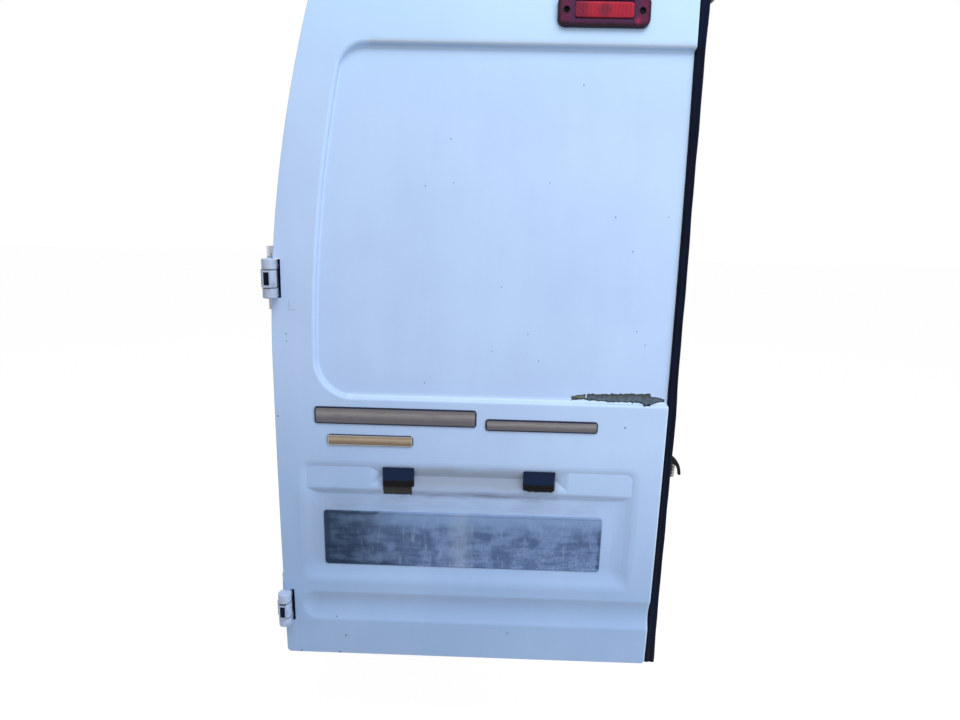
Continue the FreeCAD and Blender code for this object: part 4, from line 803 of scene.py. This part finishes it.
# Number plate lamps: two black mouldings clipped into the trough above the plate, each with a
# clear lens let into its underside. Dirty water has dried brown on their lower edges.
LAMP_SKY_REFLECTION = (0.0036, 0.0120, 0.0420, 1)
LAMP_LOW_SHADE = (0.0040, 0.0034, 0.0045, 1)
RUST_TINT = (0.170, 0.115, 0.060, 1)
CLEAR_SOOTY = (0.010, 0.009, 0.010, 1)
CLEAR_BROWN = (0.026, 0.020, 0.015, 1)
LOW_PART = (0.350, 0.3550, 0.300, 0.0165)
lamp_black, tree, shader = finish_new("lamp_black", Specular_IOR_Level=0.12)
place = on_door(tree)
dirty = ragged(tree, place, 0.006, 90.0)
# Painted reflection of the sky turns the black mouldings navy; painted shade darkens their low part,
# which is also rougher and tinted with dried brown dirt.
low_shade_and_dirt = squares(tree, dirty, 0.0015, LOW_PART)
tint = ranged(tree, noise(tree, place, 210.0, 4.0), 0.70, 0.78, 0.0, 0.4)
colour = mixed(tree, low_shade_and_dirt, LAMP_SKY_REFLECTION, LAMP_LOW_SHADE)
feed(
    tree, shader, noise(tree, place, 700.0, 2.0), 0.08,
    Base_Color=mixed(tree, scaled(tree, tint, low_shade_and_dirt), colour, RUST_TINT),
    Roughness=sum_of(tree, "MULTIPLY_ADD", low_shade_and_dirt, 0.35, 0.2),
)
lens_clear, tree, shader = finish_new(
    "lens_clear", Transmission_Weight=0.25, IOR=1.49, Specular_IOR_Level=0.12
)
place = on_door(tree)
film = noise(tree, place, 130.0, 4.0)
feed(
    tree, shader, noise(tree, place, 500.0, 2.0), 0.1,
    Base_Color=mixed(tree, film, CLEAR_SOOTY, CLEAR_BROWN),
    Roughness=ranged(tree, film, 0.3, 0.7, 0.12, 0.4),
)
for side in ("left", "right"):
    paint_node(lamp_black, "plate_lamp_housing_" + side)
    paint_node(lens_clear, "plate_lamp_lens_" + side)

# Number plate: a blank pressed sheet with a rolled rim, glued to the floor of its recess. Its face
# is scoured and streaked with dried dirt, darkest at its hinge end.
PLATE_X, PLATE_Z = 0.340, 0.2465
PLATE_HALF = (0.260, 0.055)
SLATE = (0.172, 0.265, 0.480, 1)
SLATE_DARK = (0.082, 0.132, 0.265, 1)
SLATE_PALE = (0.290, 0.390, 0.580, 1)
MOSS_DARK = (0.011, 0.027, 0.056, 1)
SLATE_WASHED = (0.215, 0.330, 0.570, 1)
PALE_BAND = (0.335, PLATE_Z, 0.016, 0.2)
DARK_EDGE_MARKS = [
    (0.085, PLATE_Z, 0.006, 0.2), (0.130, 0.2985, 0.050, 0.003),
    (0.160, 0.1945, 0.080, 0.004, -0.03), (0.598, 0.236, 0.0020, 0.040),
]
plate_grime, tree, shader = finish_new("plate_grime", Specular_IOR_Level=0.15)
place = on_door(tree)
axes = add(tree, "SeparateXYZ", {0: place}).outputs
smeared = ragged(tree, place, 0.014, 45.0)
runs = noise(tree, place, 1.0, 5.0, (22, 22, 90))
drips = noise(tree, place, 1.0, 5.0, (110, 22, 30))
blots = noise(tree, place, 34.0, 6.0)
speckle = noise(tree, place, 190.0, 5.0)
tone = sum_of(tree, "MULTIPLY_ADD", runs, 0.45, scaled(tree, blots, 0.55))
colour = mixed(tree, ranged(tree, tone, 0.38, 0.60), SLATE_DARK, SLATE)
colour = mixed(tree, ranged(tree, drips, 0.52, 0.72, 0.0, 0.5), colour, SLATE_PALE)
# Fine specks, thicker in the free half and low down; a washed top; and one pale upright band.
gritty = ranged(tree, axes[0], 0.30, 0.42, 0.20, 0.55)
low_down = ranged(tree, axes[2], 0.200, 0.285, 1.0, 0.25)
grit = scaled(tree, ranged(tree, speckle, 0.46, 0.60), gritty)
colour = mixed(tree, scaled(tree, grit, low_down), colour, SLATE_DARK)
washed = ranged(tree, axes[2], 0.256, 0.298, 0.0, 0.85)
colour = mixed(tree, washed, colour, SLATE_WASHED)
pale_band = squares(tree, smeared, 0.014, PALE_BAND)
colour = mixed(tree, scaled(tree, pale_band, 0.50), colour, SLATE_PALE)
# Moss and soot at the hinge end, and darker marks along the first part of both edges and in a thin
# line at the end.
soot = ranged(tree, axes[0], 0.095, 0.265, 0.92, 0.0)
soot = scaled(tree, soot, ranged(tree, tone, 0.34, 0.64, 1.0, 0.75))
colour = mixed(tree, soot, colour, MOSS_DARK)
edges = squares(tree, smeared, 0.004, *DARK_EDGE_MARKS)
colour = mixed(tree, scaled(tree, edges, 0.7), colour, MOSS_DARK)
feed(
    tree, shader, sum_of(tree, "ADD", speckle, blots), 0.2, 0.0005,
    Base_Color=colour, Roughness=ranged(tree, speckle, 0.3, 0.7, 0.5, 0.75),
)
PLATE_CORNER = 0.006
PLATE_FRONT, PLATE_BACK = -0.0086, -0.0097
RIM_HALF, RIM_RISE = 0.0023, 0.0006
DENT_DEPTH, DENT_FADE = 0.0003, 0.02
insets = [0, 0.0006, 0.0015, 0.0026, 0.0036, 0.0046, 0.0062]
plate_x, plate_z, plate_edge = plate_grid(*PLATE_HALF, PLATE_CORNER, insets, (120, 28))
# Front of the plate: a rolled rim, a half circle in section, and a face with shallow dents.
rim = RIM_RISE * np.sqrt(np.clip(1 - ((plate_edge - RIM_HALF) / RIM_HALF) ** 2, 0, 1))
dents = DENT_DEPTH * np.sin(23 * plate_x + 1) * np.sin(47 * plate_z)
dents = dents * np.clip(plate_edge / DENT_FADE, 0, 1)
points, faces = plate_points(plate_x, plate_z, PLATE_FRONT + rim + dents, PLATE_BACK)
number_plate = piece_new(
    "blank_number_plate", on_face(points, PLATE_X, PLATE_Z), faces, plate_grime, "door"
)
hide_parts("number_plate")

# Blank strips: three moulded strips glued to the face where a name would be. Two are dull chrome
# over plastic, and the lower one is a brassy foil under a bright rim. Each is painted lighter in a
# band across its upper part as a highlight and darker elsewhere as shade. Each also has a dark
# outline of painted shadow, wider on the chrome ones.
TAUPE_CHROME = (0.310, 0.298, 0.305, 1)
TAUPE_SHADE = (0.122, 0.118, 0.135, 1)
OUTLINE_SHADOW = (0.018, 0.024, 0.055, 1)
AMBER = (0.200, 0.145, 0.098, 1)
AMBER_PALE = (0.500, 0.425, 0.325, 1)
RIM_BRIGHT = (0.420, 0.425, 0.440, 1)
STRIPS = {
    "long_name_strip": (0.217, 0.489, 0.145, 0.016),
    "short_name_strip": (0.478, 0.479, 0.100, 0.011),
    "grade_strip": (0.1715, 0.4435, 0.0775, 0.0105),
}
OUTLINE_WIDE, BORDER_WIDE = 0.0013, 0.0028
STRIP_CORNER, STRIP_ROUND = 0.006, 0.0014
STRIP_BACK, STRIP_FOOT, STRIP_RISE, STRIP_DOME = 0.0003, 0.0004, 0.0018, 0.0006
GROOVE_PLACE, GROOVE_WIDE, GROOVE_DEEP = 0.0022, 0.0006, 0.0007


def strip_finish(name, x, z, half_x, half_z, face, shade, edge):
    """Foil tarnished in streaks, with a painted highlight band across its upper part and painted
    shade elsewhere, another colour on its border, and a painted shadow as its outline.
    """
    made, tree, shader = finish_new(name, Metallic=0.35, Specular_IOR_Level=0.3)
    place = on_door(tree)
    cloudy = ragged(tree, place, 0.004, 60.0)
    tarnish = noise(tree, place, 1.0, 5.0, (45, 45, 190))
    lit = squares(tree, cloudy, half_z * 0.6, (x, z + half_z * 0.25, half_x, half_z * 0.15))
    colour = mixed(tree, lit, shade, face)
    colour = mixed(tree, ranged(tree, tarnish, 0.52, 0.74, 0.0, 0.35), colour, shade)
    middle = squares(tree, place, 0.0005, (x, z, half_x - BORDER_WIDE, half_z - BORDER_WIDE))
    rim = squares(tree, place, 0.0004, (x, z, half_x - OUTLINE_WIDE, half_z - OUTLINE_WIDE))
    colour = mixed(tree, rim, OUTLINE_SHADOW, mixed(tree, middle, edge, colour))
    feed(
        tree, shader, tarnish, 0.08, Base_Color=colour,
        Roughness=ranged(tree, tarnish, 0.3, 0.7, 0.30, 0.50),
    )
    return made


insets = [0, 0.0003, 0.0008, STRIP_ROUND, 0.0018, GROOVE_PLACE, 0.0030, 0.0045, 0.0060]
for name, (x, z, half_x, half_z) in STRIPS.items():
    looks = (TAUPE_CHROME, TAUPE_SHADE, OUTLINE_SHADOW)
    if name == "grade_strip":
        looks = (AMBER_PALE, AMBER, RIM_BRIGHT)
    finish = strip_finish(name + "_foil", x, z, half_x, half_z, *looks)
    strip_x, strip_z, strip_edge = plate_grid(half_x, half_z, STRIP_CORNER, insets, (70, 8))
    # Front of the strip: a rounded rim, a groove inside it, and a gently domed face.
    rim = np.sqrt(1 - (1 - np.clip(strip_edge / STRIP_ROUND, 0, 1)) ** 2)
    groove = np.exp(-(((strip_edge - GROOVE_PLACE) / GROOVE_WIDE) ** 2))
    dome = STRIP_DOME * (1 - (strip_z / half_z) ** 2)
    front = STRIP_FOOT + STRIP_RISE * rim - GROOVE_DEEP * groove + dome
    points, faces = plate_points(strip_x, strip_z, front, STRIP_BACK)
    points = on_face(points, x, z)
    strip = piece_new(name + "_moulding", points, faces, finish, "door")
    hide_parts(name)

# Lower trim panel: a flat board with a grained grey skin, which covers the inner panel's foot. Ten
# black plastic buttons, pushed through it, hold it to the inner panel.
TRIM_GREY = (0.150, 0.155, 0.165, 1)
TRIM_PALE = (0.180, 0.185, 0.194, 1)
trim_board, tree, shader = finish_new("trim_board", IOR=1.48)
place = on_door(tree)
pebble = add(tree, "TexVoronoi", {"Vector": place, "Scale": 900.0}).outputs["Distance"]
rubbed = ranged(tree, noise(tree, place, 9.0, 5.0), 0.45, 0.7)
feed(
    tree, shader, pebble, 0.3, 0.0004,
    Base_Color=mixed(tree, rubbed, TRIM_GREY, TRIM_PALE),
    Roughness=ranged(tree, rubbed, 0.0, 1.0, 0.62, 0.48),
)
paint_node(trim_board, "lower_trim_panel")
INNER_FACE = 0.0483
BUTTON_EDGE = 0.020
trim_low, trim_high = (np.array(corner) - skin_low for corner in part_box("lower_trim_panel"))
button_profile = [
    (0.0100, -0.0001), (0.0100, 0.0008), (0.0092, 0.0017), (0.0062, 0.0024), (0.0056, 0.0017),
    (0.0050, 0.0017), (0.0044, 0.0024), (0.0006, 0.0026),
]
columns = np.linspace(trim_low[0] + BUTTON_EDGE, trim_high[0] - BUTTON_EDGE, 4)
rows = np.linspace(trim_low[2] + BUTTON_EDGE, trim_high[2] - BUTTON_EDGE, 3)
places = [(x, z) for z in rows for x in columns if z != rows[1] or x in columns[[0, -1]]]
rings = turned(button_profile, 40)
rings[..., 2] = -INNER_FACE - rings[..., 2]
for number, (x, z) in enumerate(places):
    piece_new(
        f"trim_button_{number + 1}", on_face(rings, x, z), ring_faces(rings),
        black_plastic, "door",
    )

# Release handle and catches: a black lever in its bezel beside the window opening, and two steel
# catches that hold the door's top and foot. Crossed screws fasten the bezel and the catches.
paint_node(black_plastic, "release_bezel", "release_handle")
paint_node(zinc_steel, "upper_catch", "lower_catch")
FIXING_SCREW = (0.0040, 0.0020)
# Place of each fixed piece, offsets of its screws from there, and depth of their seats.
FIXINGS = {
    "bezel": (0.640, 0.640, [(0.0, 0.0575), (0.0, -0.0575)], 0.0523),
    "upper_catch": (0.642, 1.160, [(-0.0165, 0.0), (0.0165, 0.0)], 0.0613),
    "lower_catch": (0.642, 0.036, [(-0.0165, 0.0), (0.0165, 0.0)], 0.0613),
}
for name, (x, z, offsets, depth) in FIXINGS.items():
    for number, (right, rise) in enumerate(offsets):
        rings = screw_rings(*FIXING_SCREW)
        rings[..., 0] += right
        rings[..., 1] += rise
        rings[..., 2] = -depth - rings[..., 2]
        piece_new(
            f"{name}_screw_{number + 1}", on_face(rings, x, z), ring_faces(rings),
            zinc_steel, "door",
        )

# Wiring grommet: a moulded rubber bush, pressed into a hole in the wall on the hinge side, where the
# lamps' wiring would leave the door.
paint_node(weathered_rubber, "wiring_grommet")

# Studio: a white floor well under the hanging door, two soft lamps and an even sky. Floor and sky
# stay white to the camera and in gloss, and light the door less than that.
FLOOR_DROP = 0.30
FLOOR_REACH = 30.0
FLOOR_GREY = 0.30
FLOOR_GLOW = 0.80
SKY_LIGHT = 0.62
floor_mesh = bpy.data.meshes.new("studio_floor")
corners = np.array([[-1, -1, 0], [1, -1, 0], [1, 1, 0], [-1, 1, 0]]) * FLOOR_REACH
corners[:, 2] = cad_low[2] - FLOOR_DROP
floor_mesh.from_pydata(corners.tolist(), [], [(0, 1, 2, 3)])
floor = bpy.data.objects.new("studio_floor", floor_mesh)
bpy.context.scene.collection.objects.link(floor)


def seen_straight(tree):
    """One for rays from the camera, from gloss or through glass, and nought for the rest."""
    rays = add(tree, "LightPath").outputs
    gloss = stronger(tree, rays["Is Camera Ray"], rays["Is Glossy Ray"])
    return stronger(tree, gloss, rays["Is Transmission Ray"])


floor_white, tree, shader = finish_new("floor_white", Roughness=0.9, Specular_IOR_Level=0.0)
shader.inputs["Base Color"].default_value = (FLOOR_GREY, FLOOR_GREY, FLOOR_GREY, 1)
shader.inputs["Emission Color"].default_value = (1, 1, 1, 1)
glow = scaled(tree, seen_straight(tree), FLOOR_GLOW)
tree.links.new(glow, shader.inputs["Emission Strength"])
floor_mesh.materials.append(floor_white)

world = bpy.data.worlds.new("studio_sky")
world.use_nodes = True
bpy.context.scene.world = world
tree = world.node_tree
tree.nodes.clear()
strength = ranged(tree, seen_straight(tree), 0.0, 1.0, SKY_LIGHT, 1.0)
sky = add(tree, "Background", {"Color": (1, 1, 1, 1), "Strength": strength})
add(tree, "OutputWorld", {"Surface": sky.outputs[0]})


def lamp_new(name, place, target, size, power):
    """Soft rectangular lamp at a place, turned to a target."""
    data = bpy.data.lights.new(name, "AREA")
    data.shape = "RECTANGLE"
    data.size, data.size_y = size
    data.energy = power
    made = bpy.data.objects.new(name, data)
    made.location = place
    made.visible_glossy = False
    made.rotation_mode = "QUATERNION"
    made.rotation_quaternion = (Vector(target) - Vector(place)).to_track_quat("-Z", "Y")
    bpy.context.scene.collection.objects.link(made)


lamp_new("overhead_lamp", (0.85, -0.95, 2.45), (0.45, 0.0, 0.85), (1.8, 1.0), 36)
lamp_new("side_lamp", (1.90, -1.20, 0.40), (0.70, 0.0, 0.40), (1.2, 1.2), 14)

# Camera: a phone's wide lens a little above the middle of the door, tipped down. Its place, turns
# and lens are fitted to the door's straight edges and the number plate.
CAMERA_PLACE = (0.3905, -0.9320, 0.7020)
CAMERA_TURNS = np.radians([12.87, 0.96, 1.35])
LENS_MM = 20.25
cos_tip, cos_roll, cos_yaw = np.cos(CAMERA_TURNS)
sin_tip, sin_roll, sin_yaw = np.sin(CAMERA_TURNS)
tip = np.array([[1, 0, 0], [0, cos_tip, -sin_tip], [0, sin_tip, cos_tip]])
roll = np.array([[cos_roll, 0, sin_roll], [0, 1, 0], [-sin_roll, 0, cos_roll]])
yaw = np.array([[cos_yaw, -sin_yaw, 0], [sin_yaw, cos_yaw, 0], [0, 0, 1]])
level = np.array([[1, 0, 0], [0, 0, -1], [0, 1, 0]])
right, down, forward = yaw @ tip @ roll @ level
camera_data = bpy.data.cameras.new("photo_camera")
camera_data.sensor_width = 36
camera_data.lens = LENS_MM
camera_data.clip_start = 0.02
camera = bpy.data.objects.new("photo_camera", camera_data)
turn = Matrix(np.array([right, -down, -forward]).T.tolist()).to_4x4()
camera.matrix_world = Matrix.Translation(CAMERA_PLACE) @ turn
bpy.context.scene.collection.objects.link(camera)
bpy.context.scene.camera = camera
bpy.context.scene.view_settings.view_transform = "Standard"
